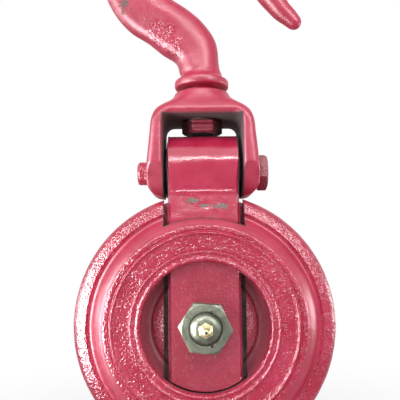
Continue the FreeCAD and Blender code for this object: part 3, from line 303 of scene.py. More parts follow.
def plated(name, base, dark, bloom, roughness, turned=0.0):
    """Plated or bare metal, dulled in patches; turned is the spacing of its turning marks."""
    finish = Finish(name)
    patches = finish.step(finish.grain(5, 4), 0.40, 0.68)
    spots = finish.step(finish.grain(1.1, 3), 0.58, 0.72)
    colour = finish.mix(patches * 0.6, base, dark)
    colour = finish.mix(spots * 0.45, colour, bloom)
    edges = finish.edges()
    colour = finish.mix(finish.step(edges, 0.52, 0.60) * 0.5, colour, bloom)
    # Hollow corners are painted dark, as painted shade.
    colour = finish.mix(finish.drop(edges, 0.38, 0.47) * 0.85, colour, GRIME_AND_SHADE)
    marks = finish.grain(0.8, 5, 0.7) * 0.12 + patches * 0.05
    if turned:
        marks = marks + finish.wave(finish.from_pin() / turned) * 0.03
    return finish.surface(
        Base_Color=colour, Metallic=0.85, Roughness=finish.grain(3, 3) * 0.25 + roughness,
        Normal=finish.bump(marks))


def shell_roughness(finish):
    """The rim bead, the raised ring and the boss were cast rough; valley and flank are smooth."""
    reach = finish.from_pin()
    valley = finish.band(reach, (77.0, 79.5), (89.5, 91.5))
    recess = finish.band(reach, (41.5, 43.5), (48.5, 50.0))
    boss = finish.drop(reach, 40.5, 42.0)
    bead = finish.step(reach, 91.0, 92.5)
    # The boss's extra roughness also brings more pale flecks, painted glints on it.
    return 0.85 - valley * 0.75 - recess * 0.55 + boss - bead * 0.16


def shell_satin(finish):
    """The valley, and the flank that rises from it to the ring, took the enamel less glossy."""
    return finish.band(finish.from_pin(), (76.5, 79.0), (90.5, 92.0)) * 0.24


def shell_shade(finish):
    """Painted shade inside the shell, on all that is in line with the strap's window, and round the
    boss.
    """
    x, y, _ = finish.parts()
    window = finish.drop(x.size(), 32.1, 32.9) * finish.drop(y.size(), 37.6, 38.6)
    inside = finish.drop(y.size(), 19.8, 20.8)
    round_boss = finish.band(finish.from_pin(), (40.3, 42.5), (43.5, 49.5)) * 0.3
    return window.most(inside).most(round_boss) * 0.95


def shell_film(finish):
    """Dust has settled on the wall of the recess; on the boss the grey is partly dust and partly a
    painted highlight.
    """
    reach = finish.from_pin()
    wall = finish.band(reach, (41.0, 43.0), (48.6, 50.0)) * 0.48
    return wall.most(finish.drop(reach, 40.5, 42.0) * 0.30)


def strap_film(finish):
    """The top of the strap's head is greyer, and the strap is thinly so between the shells."""
    _, _, z = finish.parts()
    low = finish.drop(z, PIN_Z + 44, PIN_Z + 54)
    top = finish.step(z, PIVOT_Z + 27.5, PIVOT_Z + 30.5)
    return (low * 0.17).most(top * 0.6)


def strap_roughness(finish):
    """The strap is flecked all over between the shells, and smoother on its head."""
    _, _, z = finish.parts()
    return finish.drop(z, PIN_Z + 44, PIN_Z + 52) * 0.45 + 0.04


def strap_shade(finish):
    """Painted shade on the inner sides of the strap's arms and on all its edges."""
    x, y, z = finish.parts()
    inner = finish.drop(y.size(), 27.2, 27.8) * finish.drop(z, PIVOT_Z - 2, PIVOT_Z)
    sides = finish.step(x.size(), STRAP_HALF - 0.35, STRAP_HALF - 0.1)
    return inner.most(sides * 0.8)


def yoke_shade(finish):
    """The inside of the yoke's window is painted dark: painted shade under the crown and between the
    legs.
    """
    x, _, z = finish.parts()
    beside = finish.drop(x.size(), 32.0, 34.6)
    under = finish.drop(z, PIVOT_Z + 44.7, PIVOT_Z + 47.0)
    return beside * under * 0.95


def hook_shade(finish):
    """The threaded end under the yoke's crown is painted dark: painted shade."""
    _, _, z = finish.parts()
    return finish.drop(z, PIVOT_Z + 44, PIVOT_Z + 46) * 0.95


def nut_shade(finish):
    """The hook nut is painted dark as painted shade: most on its side flats, least in its middle and at
    its top.
    """
    x, _, z = finish.parts()
    corners = finish.step(x.size(), 6.0, 13.0) * 0.62
    top = finish.step(z, PIVOT_Z + 34, PIVOT_Z + 46) * 0.12
    return corners + 0.30 - top


def bolt_shade(finish):
    """The bolt's head on the right is painted darker than its threaded end on the left: painted shade.
    """
    x, _, _ = finish.parts()
    return finish.step(x, 46.0, 47.0) * 0.45


def smooth_forging(finish):
    """A forging that the enamel has evened out, a little rough in broad patches."""
    return finish.step(finish.grain(30, 1), 0.55, 0.72) * 0.16 + 0.05


def rough_forging(finish):
    """Rough in small patches."""
    return finish.grain(8, 1) * 0.9


def dull(finish):
    return finish.grain(20, 1) * 0.15 + 0.15


def slightly_dull(finish):
    return finish.grain(20, 1) * 0.1 + 0.02


# Worn patches in the photograph: the middle of each, and how far it reaches each way.
HOOK_CHIPS = [((-66, -17, -93), (7, 14, 11))]
HOOK_FLECKS = [((-36, -17, -119), (17, 18, 15)), ((-24, -17, -133), (14, 18, 12))]
STRAP_CHIPS = [
    ((-8.5, -33, -264.6), (7, 9, 3.5)), ((1, -33, -268.6), (8, 9, 2.0)),
    ((14, -34, -269.0), (8, 9, 3.5))]

SHELL_ENAMEL = enamel(
    "shell_enamel", shell_roughness, shell_shade, satin=shell_satin, film=shell_film)
HOOK_ENAMEL = enamel(
    "hook_enamel", smooth_forging, hook_shade, chips=HOOK_CHIPS, flecked=HOOK_FLECKS, satin=dull)
YOKE_ENAMEL = enamel("yoke_enamel", smooth_forging, yoke_shade, satin=dull)
STRAP_ENAMEL = enamel(
    "strap_enamel", strap_roughness, strap_shade, chips=STRAP_CHIPS, film=strap_film)
BOLT_ENAMEL = enamel("bolt_enamel", rough_forging, bolt_shade, satin=slightly_dull)
NUT_ENAMEL = enamel("nut_enamel", rough_forging, nut_shade, ribs=4.0, satin=slightly_dull)
SHEAVE_ENAMEL = enamel("sheave_enamel", rough_forging)
ZINC_PLATE = plated("zinc_plate", ZINC, ZINC_DARK, ZINC_BLOOM, 0.34, turned=1.1)
BOLT_ZINC = plated("bolt_zinc", ZINC, ZINC_DARK, ZINC_BLOOM, 0.30)
YELLOW_PLATE = plated("yellow_zinc_plate", YELLOW_ZINC, YELLOW_ZINC_DARK, ZINC_BLOOM, 0.22)
GROUND_STEEL = plated("ground_steel", STEEL, STEEL_DARK, ZINC_BLOOM, 0.30)
TURNED_BRONZE = plated("turned_bronze", BRONZE, BRONZE_DARK, BRONZE, 0.30)
GRIMY_BRONZE = plated("grimy_bronze", GRIME_AND_SHADE, BRONZE_DARK, GRIME_AND_SHADE, 0.55)
# Steel painted nearly black, as painted shade where the spool shows in the gaps beside the strap.
SHADE_DARK_STEEL = plated("shade_dark_steel", GRIME_AND_SHADE, STEEL_DARK, GRIME_AND_SHADE, 0.45)


# Shapes

def new_piece(name, shape, material, body, nodes, crisp=35):
    """A finished piece: its shape goes from millimetres to metres and takes the CAD nodes' place.

    crisp is the angle over which an edge stays sharp.
    """
    bmesh.ops.transform(shape, matrix=Matrix.Scale(MM, 4), verts=shape.verts)
    for face in shape.faces:
        face.smooth = True
    for edge in sharp_edges(shape, crisp):
        edge.smooth = False
    mesh = bpy.data.meshes.new(name)
    shape.to_mesh(mesh)
    shape.free()
    mesh.materials.append(material)
    piece = bpy.data.objects.new(name, mesh)
    bpy.context.scene.collection.objects.link(piece)
    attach(piece, body)
    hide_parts(*nodes)
    return piece


def copy_of(node):
    """A CAD node's own shape, closed, in millimetres."""
    shape = bmesh.new()
    shape.from_mesh(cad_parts[node].data)
    bmesh.ops.remove_doubles(shape, verts=shape.verts, dist=2e-6)
    bmesh.ops.transform(shape, matrix=Matrix.Scale(1 / MM, 4), verts=shape.verts)
    return shape


def add_to(shape, other):
    """Put the other shape's faces into this one."""
    mesh = bpy.data.meshes.new("joined")
    other.to_mesh(mesh)
    other.free()
    shape.from_mesh(mesh)
    bpy.data.meshes.remove(mesh)


def modified(shape, kind, settings):
    """The shape after one modifier."""
    mesh = bpy.data.meshes.new("work")
    shape.to_mesh(mesh)
    shape.free()
    work = bpy.data.objects.new("work", mesh)
    bpy.context.scene.collection.objects.link(work)
    modifier = work.modifiers.new("Step", kind)
    for name, setting in settings.items():
        setattr(modifier, name, setting)
    depsgraph = bpy.context.evaluated_depsgraph_get()
    result = bmesh.new()
    result.from_object(work, depsgraph)
    bpy.data.objects.remove(work)
    bpy.data.meshes.remove(mesh)
    return result


def combined(shape, tool, operation):
    """The shape with the tool's shape cut out of it, or only what both hold."""
    mesh = bpy.data.meshes.new("tool")
    tool.to_mesh(mesh)
    tool.free()
    cutter = bpy.data.objects.new("tool", mesh)
    bpy.context.scene.collection.objects.link(cutter)
    result = modified(shape, "BOOLEAN", {
        "operation": operation, "object": cutter, "solver": "MANIFOLD"})
    bpy.data.objects.remove(cutter)
    bpy.data.meshes.remove(mesh)
    bmesh.ops.remove_doubles(result, verts=result.verts, dist=0.01)
    return result


def evened(shape, spacing, rounds):
    """The same form on an even net of faces, its sharp edges eased."""
    shape = modified(shape, "REMESH", {"mode": "VOXEL", "voxel_size": spacing})
    for _ in range(rounds):
        bmesh.ops.smooth_vert(
            shape, verts=shape.verts, factor=0.5, use_axis_x=True, use_axis_y=True, use_axis_z=True)
    return shape


def hammered(shape, lumps):
    """Hollows as a forging die or a sand mould leaves them: sizes of lumps with their depths."""
    shape.normal_update()
    for vert in shape.verts:
        depth = sum(deep * (0.5 + 0.5 * noise.noise(vert.co / size)) for size, deep in lumps)
        vert.co -= vert.normal * depth
    return shape


def bevelled(shape, items, reach, affect, segments, clamp=False):
    """Round corners (VERTICES) or edges (EDGES); reach is how far the rounding goes on each side."""
    bmesh.ops.bevel(
        shape, geom=items, offset=reach, offset_type="OFFSET", affect=affect, segments=segments,
        profile=0.5, material=-1, clamp_overlap=clamp)
    return shape


def only_verts(items):
    """The points among what an operation has made."""
    return [item for item in items if isinstance(item, bmesh.types.BMVert)]


def sharp_edges(shape, angle):
    """The edges where two faces meet at more than that angle."""
    return [edge for edge in shape.edges
            if len(edge.link_faces) == 2 and edge.calc_face_angle(0) > math.radians(angle)]


def eased(shape, width, over=25):
    """Every edge sharper than that angle gets a small rounding."""
    return bevelled(shape, sharp_edges(shape, over), width, "EDGES", 2, clamp=True)


def outline(corners, plane="YZ"):
    """A closed outline; a corner is two places, and its rounding's reach if it has one."""
    shape = bmesh.new()
    verts = []
    for first, second, *_ in corners:
        place = (0, first, second) if plane == "YZ" else (first, 0, second)
        verts.append(shape.verts.new(place))
    for vert, after in zip(verts, verts[1:] + verts[:1]):
        shape.edges.new((vert, after))
    for vert, corner in zip(verts, corners):
        if len(corner) == 3:
            bevelled(shape, [vert], corner[2], "VERTICES", 5)
    return shape


def fine_outline(shape, longest):
    """Divide the outline's long sides, so that the surface swept from it can be uneven."""
    for _ in range(6):
        long_edges = [edge for edge in shape.edges if edge.calc_length() > longest]
        if not long_edges:
            break
        bmesh.ops.subdivide_edges(shape, edges=long_edges, cuts=1)
    return shape


def spun(shape, axis, centre, steps):
    """The outline carried round a quarter of its way, which is then repeated to the full turn."""
    bmesh.ops.spin(
        shape, geom=shape.verts[:] + shape.edges[:], cent=centre, axis=axis, angle=math.tau / 4,
        steps=steps // 4)
    for turn in (90, 180):
        whole = shape.verts[:] + shape.edges[:] + shape.faces[:]
        again = bmesh.ops.duplicate(shape, geom=whole)["geom"]
        bmesh.ops.rotate(
            shape, cent=centre, matrix=Matrix.Rotation(math.radians(turn), 3, Vector(axis)),
            verts=only_verts(again))
    bmesh.ops.remove_doubles(shape, verts=shape.verts, dist=0.005)
    bmesh.ops.recalc_face_normals(shape, faces=shape.faces)
    return shape


def spun_about_pin(corners, steps=96, longest=None):
    """A turning about the centre bolt's axis.

    A corner is its distance from mid-plane and from the axis, and its rounding if it has one. Sides
    over the longest length are divided.
    """
    shape = outline([(along, out + PIN_Z, *rest) for along, out, *rest in corners])
    if longest:
        fine_outline(shape, longest)
    return spun(shape, (0, 1, 0), (0, 0, PIN_Z), steps)


def spun_about_pivot(corners, steps):
    """A turning about the pivot bolt's axis; a corner is its place along the axis and its radius."""
    shape = outline([(along, out + PIVOT_Z, *rest) for along, out, *rest in corners], plane="XZ")
    return spun(shape, (1, 0, 0), (0, 0, PIVOT_Z), steps)


def extruded(shape, way):
    """The outline, filled and drawn out by a vector to a closed block."""
    face = bmesh.ops.contextual_create(shape, geom=shape.edges[:])["faces"]
    made = bmesh.ops.extrude_face_region(shape, geom=face)
    bmesh.ops.translate(shape, vec=way, verts=only_verts(made["geom"]))
    bmesh.ops.recalc_face_normals(shape, faces=shape.faces)
    return shape


def laid_on(shape, axis):
    """Turn what stands on the Z axis onto the pin's axis (Y) or the pivot's (X)."""
    if axis == "Y":
        place = Matrix.Translation((0, 0, PIN_Z)) @ Matrix.Rotation(math.radians(-90), 4, "X")
    else:
        place = Matrix.Translation((0, 0, PIVOT_Z)) @ Matrix.Rotation(math.radians(90), 4, "Y")
    bmesh.ops.transform(shape, matrix=place, verts=shape.verts)
    return shape


def hexagon(flats, start, end, turn, axis):
    """A hexagonal bar along the pin's axis (Y) or the pivot's (X); turn is its first corner's angle."""
    shape = bmesh.new()
    reach = flats / math.sqrt(3)
    bmesh.ops.create_cone(
        shape, cap_ends=True, segments=6, radius1=reach, radius2=reach, depth=end - start)
    bmesh.ops.translate(shape, vec=(0, 0, (start + end) / 2), verts=shape.verts)
    bmesh.ops.rotate(
        shape, cent=(0, 0, 0), matrix=Matrix.Rotation(math.radians(turn), 3, "Z"), verts=shape.verts)
    return laid_on(shape, axis)


def add_ridge(shape, radius, pitch, depth, start, end):
    """A screw thread's ridge wound on the pivot bolt; it fades into the bolt at both of its ends."""
    per_turn = 48
    turns = (end - start) / pitch
    root = radius - depth - 0.2
    profile = ((root, -0.46), (radius, -0.12), (radius, 0.12), (root, 0.46))
    coil = bmesh.new()
    corners = [coil.verts.new((out, 0, along * pitch)) for out, along in profile]
    edges = [coil.edges.new(pair) for pair in zip(corners, corners[1:])]
    bmesh.ops.spin(
        coil, geom=corners + edges, cent=(0, 0, 0), axis=(0, 0, 1), dvec=(0, 0, pitch / per_turn),
        angle=math.tau * turns, steps=int(per_turn * turns), use_merge=False)
    bmesh.ops.recalc_face_normals(coil, faces=coil.faces)
    for vert in coil.verts:
        along = vert.co.z / (pitch * turns)
        fade = min(1, max(0, min(along, 1 - along) * turns * 3))
        out = math.hypot(vert.co.x, vert.co.y)
        if out > radius - depth:
            scale = (root + (out - root) * fade) / out
            vert.co.x *= scale
            vert.co.y *= scale
    bmesh.ops.translate(coil, vec=(0, 0, start), verts=coil.verts)
    add_to(shape, laid_on(coil, "X"))


# Hook and yoke: forgings

def make_hook():
    shape = hammered(evened(copy_of("hook"), 0.95, 3), ((16, 0.45), (5, 0.14)))
    return new_piece(
        "hook_forging", shape, HOOK_ENAMEL, "hook_body", ["hook"], crisp=60)


def make_yoke():
    shape = hammered(evened(copy_of("yoke"), 0.95, 3), ((14, 0.45), (5, 0.16)))
    return new_piece(
        "yoke_forging", shape, YOKE_ENAMEL, "yoke_body", ["yoke"], crisp=60)


# Strap: a flat bar bent over the spool

# The middle of the bar's thickness lies this far from mid-plane on its arms and on its head.
ARM_Y = 32.0
HEAD_Y = 26.5
# The bar is set outwards between these two levels.
LOW_CREASE_Z = PIVOT_Z - 43.8
HIGH_CREASE_Z = PIVOT_Z - 19.8
# The feet are cut round about the pin: the radius, and how far below the pin the cut starts.
FOOT_RADIUS = 48.4
FOOT_START = 30.0
# The press left the head wider and its edges sharper, more and more over this length about the
# pivot's level, and a low welt at the upper crease.
HEAD_BLEND = 24
HEAD_WIDENING = 1.2
HEAD_SHARPENING = 0.6
WELT_Z = PIVOT_Z - 19.6
WELT_FACE_Y = 29
WELT_HEIGHT = 0.55
WELT_HALF = 1.3


def bar_path():
    """The middle of the bar's thickness, from the foot of the front arm over the pivot to the rear's."""
    front = [(-ARM_Y, PIN_Z - FOOT_RADIUS), (-ARM_Y, LOW_CREASE_Z), (-HEAD_Y, HIGH_CREASE_Z),
             (-HEAD_Y, PIVOT_Z)]
    path = bmesh.new()
    verts = [path.verts.new((0, y, z)) for y, z in front]
    for pair in zip(verts, verts[1:]):
        path.edges.new(pair)
    bevelled(path, verts[1:3], 2.0, "VERTICES", 4)
    fine_outline(path, 1.8)
    upward = sorted((vert.co.z, vert.co.y) for vert in path.verts)
    path.free()
    points = [(y, z) for z, y in upward]
    over = [(-HEAD_Y * math.cos(math.radians(angle)), PIVOT_Z + HEAD_Y * math.sin(math.radians(angle)))
            for angle in range(5, 180, 5)]
    return points + over + [(-y, z) for y, z in reversed(points)]


def bar_section():
    """The outline of the bar's section, its corners rounded."""
    shape = bmesh.new()
    bmesh.ops.create_grid(shape, x_segments=1, y_segments=1, size=1)
    for vert in shape.verts:
        vert.co = Vector((vert.co.x * STRAP_HALF, vert.co.y * STRAP_HALF_THICK, 0))
    bevelled(shape, shape.verts[:], STRAP_ROUNDING, "VERTICES", 6)
    bmesh.ops.delete(shape, geom=shape.faces[:], context="FACES_ONLY")
    return fine_outline(shape, 2.6)


def stand_square(places, path, number):
    """Put one ring of the section's points square to the path at one of its stations."""
    y, z = path[number]
    before, after = path[max(number - 1, 0)], path[min(number + 1, len(path) - 1)]
    along = Vector((0, after[0] - before[0], after[1] - before[1])).normalized()
    out = Vector((0, -along.z, along.y))
    head = min(1, max(0, (z - PIVOT_Z) / HEAD_BLEND + 0.5))
    for vert, (across, thick) in places.items():
        inset, under = STRAP_HALF - abs(across), STRAP_HALF_THICK - abs(thick)
        if inset < STRAP_ROUNDING and under < STRAP_ROUNDING:
            inset *= 1 - HEAD_SHARPENING * head
            under *= 1 - HEAD_SHARPENING * head
        across = math.copysign(STRAP_HALF + HEAD_WIDENING * head - inset, across)
        thick = math.copysign(STRAP_HALF_THICK - under, thick)
        vert.co = Vector((across, y, z)) + out * thick


def swept_bar():
    """The section carried along the whole path, closed at both feet."""
    path = bar_path()
    shape = bar_section()
    places = {vert: (vert.co.x, vert.co.y) for vert in shape.verts}
    edges = shape.edges[:]
    first_edges = edges
    stand_square(places, path, 0)
    for number in range(1, len(path)):
        made = bmesh.ops.extrude_edge_only(shape, edges=edges)["geom"]
        fresh = only_verts(made)
        edges = [item for item in made if isinstance(item, bmesh.types.BMEdge)
                 and all(vert in fresh for vert in item.verts)]
        # A new point takes its place in the section from its first neighbour that has one, which can
        # also be another new point, so the bar's edges come out flatter than a round.
        for vert in fresh:
            neighbours = (edge.other_vert(vert) for edge in vert.link_edges)
            places[vert] = next(places[other] for other in neighbours if other in places)
        places = {vert: places[vert] for vert in fresh}
        stand_square(places, path, number)
    bmesh.ops.holes_fill(shape, edges=first_edges + edges, sides=0)
    bmesh.ops.recalc_face_normals(shape, faces=shape.faces)
    return shape


def make_strap():
    """The bar, its feet cut round about the pin, with the welt on the outer faces of its arms."""
    shape = swept_bar()
    for vert in shape.verts:
        drop = PIN_Z - FOOT_START - vert.co.z
        if drop > 0:
            full = math.sqrt(FOOT_RADIUS ** 2 - vert.co.x ** 2) - FOOT_START
            vert.co.z = PIN_Z - FOOT_START - drop * full / (FOOT_RADIUS - FOOT_START)
    shape = hammered(eased(shape, 1.0, 60), ((17, 0.25), (6, 0.14)))
    shape.normal_update()
    for vert in shape.verts:
        away = (vert.co.z - WELT_Z + 0.6 * noise.noise(vert.co / 7)) / WELT_HALF
        if abs(away) < 3 and abs(vert.co.y) > WELT_FACE_Y:
            vert.co += vert.normal * WELT_HEIGHT * math.exp(-away * away)
    return new_piece(
        "strap_bar", shape, STRAP_ENAMEL, "frame_body", ["strap"], crisp=50)


# Shells: two dished castings

# From the rim over the bead, the valley, the flank, the ring, the recess and the boss to the bore, and
# back inside: distance from mid-plane and from the pin's axis, and rounding.
DISH_CORNERS = (
    (20.5, 104.4, 0.8), (23.4, 103.8, 1.4), (27.4, 100.8, 1.4), (29.2, 96.4, 2.6), (30.3, 92.6, 0.6),
    (29.3, 91.5, 0.4), (29.0, 90.6, 0.5), (29.6, 88.4, 1.2), (36.4, 84.6, 2.6), (41.1, 80.0, 2.2),
    (42.5, 77.0, 1.0), (42.5, 74.2, 0.2), (41.8, 73.5, 0.3), (42.4, 72.9, 0.3), (43.9, 72.3, 0.6),
    (43.9, 70.9, 0.6), (42.5, 70.0, 0.5), (42.5, 58.9, 0.3), (42.0, 58.4, 0.2), (43.6, 57.6, 0.6),
    (43.6, 56.4, 0.6), (42.7, 55.2, 0.5), (42.7, 53.2, 0.6), (43.6, 52.2, 0.6), (43.4, 50.6, 0.8),
    (41.4, 49.3, 0.8), (33.0, 48.7), (27.0, 47.6, 1.5), (23.8, 45.0, 1.2), (23.0, 42.6, 0.8),
    (26.0, 40.6, 0.8), (29.6, 36.8, 1.5), (31.2, 32.6, 1.0), (31.5, 28.4), (31.5, 12.1, 0.2),
    (17.3, 12.1, 0.2), (17.3, 33.0, 0.6), (18.0, 35.0, 0.6), (18.0, 54.2, 1.5), (37.5, 54.2, 1.5),
    (37.5, 73.0, 1.5), (20.5, 80.0, 0.8),
)
# What stands out further than this is the ring's face.
RING_FACE_Y = 41.5

# The strap's window: distance from mid-plane and height over the pin, and half its width.
WINDOW_CORNERS = (
    (27.0, -49.7), (27.0, 42.8), (12.3, 44.8), (12.3, 109.7), (37.5, 109.7), (37.5, -49.7))
WINDOW_HALF = 31.7

# Two shallow curved panels in the ring, left blank: first and last angle from +X, seen from outside,
# then the radius of the circle that they run along, half their width and their depth.
PANELS = ((143, 262), (-76, 19))
PANEL_REACH = 64.0
PANEL_HALF = 5.6
PANEL_DEPTH = 0.55


def panel_share(across, up):
    """How far, from 0 to 1, that place on the ring lies inside one of the blank panels."""
    reach = math.hypot(across, up)
    inside = 0.0
    for first, last in PANELS:
        middle, half = math.radians((first + last) / 2), math.radians((last - first) / 2)
        turn = (math.atan2(up, across) - middle + math.pi) % math.tau - math.pi
        along = max(0.0, (abs(turn) - half) * PANEL_REACH + 5.0)
        edge = PANEL_HALF - math.hypot(along, reach - PANEL_REACH)
        inside = max(inside, min(1.0, max(0.0, edge / 1.1)))
    return inside


def make_shell(node, way):
    """One shell; way is -1 for the front and 1 for the rear."""
    corners = [(along * way, out, *bend) for along, out, *bend in DISH_CORNERS]
    shape = spun_about_pin(corners, 288, 1.6)
    shape.normal_update()
    for vert in shape.verts:
        if vert.co.y * way > RING_FACE_Y:
            vert.co.y -= way * PANEL_DEPTH * panel_share(-way * vert.co.x, vert.co.z - PIN_Z)
    window = outline([(along * way, PIN_Z + up) for along, up in WINDOW_CORNERS])
    bmesh.ops.translate(window, vec=(-WINDOW_HALF, 0, 0), verts=window.verts)
    shape = combined(shape, extruded(window, (2 * WINDOW_HALF, 0, 0)), "DIFFERENCE")
    shape = hammered(shape, ((12, 0.22), (5, 0.24)))
    return new_piece(
        f"{node}_casting", shape, SHELL_ENAMEL, "frame_body", [node], crisp=42)


# Sheave

# Half of its section, from the lip of the rope groove to the bush.
SHEAVE_HALF = (
    (14.0, 101.6, 0.8), (19.5, 101.6, 1.4), (19.5, 74.6, 1.2), (15.5, 70.6, 1.5), (6.0, 70.6, 4.0),
    (6.0, 32.0, 4.0), (15.5, 32.0, 1.4), (15.5, 23.0),
)
GROOVE_RADIUS = 11.6
GROOVE_CENTRE = 90.2


def make_sheave():
    groove = []
    for angle in range(-72, 73, 8):
        turn = math.radians(angle)
        groove.append((GROOVE_RADIUS * math.sin(turn), GROOVE_CENTRE - GROOVE_RADIUS * math.cos(turn)))
    left = [(-along, out, *rest) for along, out, *rest in reversed(SHEAVE_HALF)]
    shape = spun_about_pin(left + groove + list(SHEAVE_HALF), 180, 4.0)
    shape = hammered(shape, ((16, 0.15),))
    return new_piece(
        "sheave_wheel", shape, SHEAVE_ENAMEL, "sheave_body", ["sheave"], crisp=40)


# Fasteners: a hexagon keeps only what lies inside a turned barrel, which chamfers its corners

def make_centre_nut():
    """The nut, with its two stake marks beside the bolt."""
    shape = hexagon(CENTRE_FLATS, -NUT_FACE_Y, -SEAT_Y, 35, "Y")
    barrel = spun_about_pin((
        (-48.9, CENTRE_RADIUS + 0.02), (-NUT_FACE_Y, 12.8), (-NUT_FACE_Y, 17.9), (-47.6, 21.9),
        (-SEAT_Y, 21.9), (-SEAT_Y, CENTRE_RADIUS + 0.02)))
    shape = eased(combined(shape, barrel, "INTERSECT"), 0.3)
    for across, up in ((4.2, 11.9), (4.6, -12.4)):
        mark = bmesh.new()
        bmesh.ops.create_cone(
            mark, cap_ends=True, segments=16, radius1=1.5, radius2=1.0, depth=3)
        bmesh.ops.rotate(
            mark, cent=(0, 0, 0), matrix=Matrix.Rotation(math.radians(-90), 3, "X"),
            verts=mark.verts)
        bmesh.ops.translate(mark, vec=(across, -49.6, PIN_Z + up), verts=mark.verts)
        shape = combined(shape, mark, "DIFFERENCE")
    return new_piece(
        "centre_nut_zinc", shape, ZINC_PLATE, "frame_body", ["centre_nut"], crisp=30)


def make_centre_bolt():
    shape = spun_about_pin((
        (-53.9, 4.9), (-54.05, 5.6, 0.3), (-53.7, 7.6, 0.4), (-52.6, 10.0, 0.6), (-50.4, 11.7, 0.6),
        (-48.6, CENTRE_RADIUS), (SEAT_Y, CENTRE_RADIUS), (SEAT_Y, 4.9)))
    head = hexagon(CENTRE_FLATS, SEAT_Y, HEAD_FACE_Y, 12, "Y")
    barrel = spun_about_pin((
        (SEAT_Y, 0.2), (SEAT_Y, 21.9), (49.8, 21.9), (HEAD_FACE_Y, 17.9, 0.3), (HEAD_FACE_Y, 0.2)))
    add_to(shape, eased(combined(head, barrel, "INTERSECT"), 0.5))
    return new_piece(
        "centre_bolt_zinc", shape, BOLT_ZINC, "frame_body", ["centre_bolt"], crisp=30)


def make_pivot_bolt():
    """The bolt, with the ridge of its thread at the left and its hexagon head at the right."""
    shape = spun_about_pivot((
        (-55.2, 0.001), (-55.2, 8.2, 0.8), (-53.4, 9.9, 0.8), (-46.6, 9.7), (-46.0, PIVOT_RADIUS),
        (46.0, PIVOT_RADIUS), (46.0, 0.001)), 64)
    head = hexagon(28, PIVOT_SEAT_X, PIVOT_HEAD_X, 139, "X")
    barrel = spun_about_pivot((
        (PIVOT_SEAT_X, 0), (PIVOT_SEAT_X, 17.0), (52.4, 17.0), (PIVOT_HEAD_X, 13.6, 0.8),
        (PIVOT_HEAD_X, 0)), 96)
    add_to(shape, eased(combined(head, barrel, "INTERSECT"), 0.7))
    add_ridge(shape, PIVOT_RADIUS, 2.5, 0.7, -54.4, PIVOT_THREAD_X)
    return new_piece(
        "pivot_bolt_enamelled", shape, BOLT_ENAMEL, "yoke_body", ["pivot_bolt"],
        crisp=40)


def make_hook_nut():
    """The CAD's nut, its lower face drawn down to the end of the shank."""
    shape = copy_of("hook_nut")
    foot = min(vert.co.z for vert in shape.verts)
    for vert in shape.verts:
        if vert.co.z < foot + 0.5:
            vert.co.z += SHANK_END_Z - foot
    shape = eased(shape, 0.5, 30)
    return new_piece(
        "hook_nut_enamelled", shape, NUT_ENAMEL, "hook_body", ["hook_nut"],
        crisp=30)


def make_fitting():
    """The grease fitting: a small hexagon and a nipple with a ball end."""
    shape = hexagon(10, -59.1, -54.1, 0, "Y")
    barrel = spun_about_pin((
        (-59.1, 1.8), (-59.1, 4.9), (-58.3, 5.9), (-54.1, 5.9), (-54.1, 1.8)), 64)
    shape = eased(combined(shape, barrel, "INTERSECT"), 0.2)
    nipple = spun_about_pin((
        (-46.1, 1.7), (-46.1, 4.6), (-55.0, 4.8), (-59.1, 4.6), (-61.4, 2.4, 0.3), (-64.1, 2.4, 0.3),
        (-65.0, 3.3, 0.3), (-66.6, 3.3, 0.4), (-68.6, 1.8, 0.3), (-68.6, 0.9), (-67.6, 0.9),
        (-66.6, 1.7)), 64)
    add_to(shape, nipple)
    return new_piece(
        "grease_fitting", shape, YELLOW_PLATE, "frame_body", ["fitting_body"],
        crisp=30)


make_hook()
make_yoke()
make_strap()
make_shell("front_shell", -1)
make_shell("rear_shell", 1)
make_sheave()
make_centre_nut()
make_centre_bolt()
make_pivot_bolt()
make_hook_nut()
make_fitting()

# The CAD's own solids serve for the small parts inside.
KEPT_NODES = {
    "hook_nut_pin": NUT_ENAMEL,
    "strap_spool": SHADE_DARK_STEEL,
    "centre_sleeve": GROUND_STEEL,
    "fitting_ball": GROUND_STEEL,
    "fitting_spring": GROUND_STEEL,
    "swivel_thrust_washer": GRIMY_BRONZE,
    "sheave_bushing": TURNED_BRONZE,
    "thrust_washer_front": TURNED_BRONZE,
    "thrust_washer_rear": TURNED_BRONZE,
}
for node, material in KEPT_NODES.items():
    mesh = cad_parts[node].data
    mesh.materials.clear()
    mesh.materials.append(material)


# Stage, lamps and camera: all in metres

FLOOR_Z = -0.4765
# How brightly the room lights the block; the camera and the gloss see it as white.
ROOM_LIGHT = 0.42


def make_floor():
    """A pale floor that keeps the block's shadow and runs out into white."""
    mesh = bpy.data.meshes.new("floor")
    shape = bmesh.new()
    bmesh.ops.create_grid(shape, x_segments=1, y_segments=1, size=6)
    bmesh.ops.translate(shape, vec=(0, 0, FLOOR_Z), verts=shape.verts)
    shape.to_mesh(mesh)
    shape.free()
    finish = Finish("pale_floor")
    seen = finish.value(finish.node("ShaderNodeLightPath"), "Is Camera Ray")
    x, y, _ = finish.parts()
    far = finish.step((x * x + y * y) ** 0.5, 100, 450)
    pale = finish.node("ShaderNodeBsdfDiffuse", None, {"Color": PALE})
    glow = finish.node("ShaderNodeEmission", None, {"Color": WHITE, "Strength": 1.0})
    both = finish.node("ShaderNodeMixShader", None, {
        0: seen * (far * 0.25 + 0.75), 1: pale.outputs[0], 2: glow.outputs[0]})
    finish.node("ShaderNodeOutputMaterial", None, {0: both.outputs[0]})
    mesh.materials.append(finish.material)
    floor = bpy.data.objects.new("floor", mesh)
    bpy.context.scene.collection.objects.link(floor)


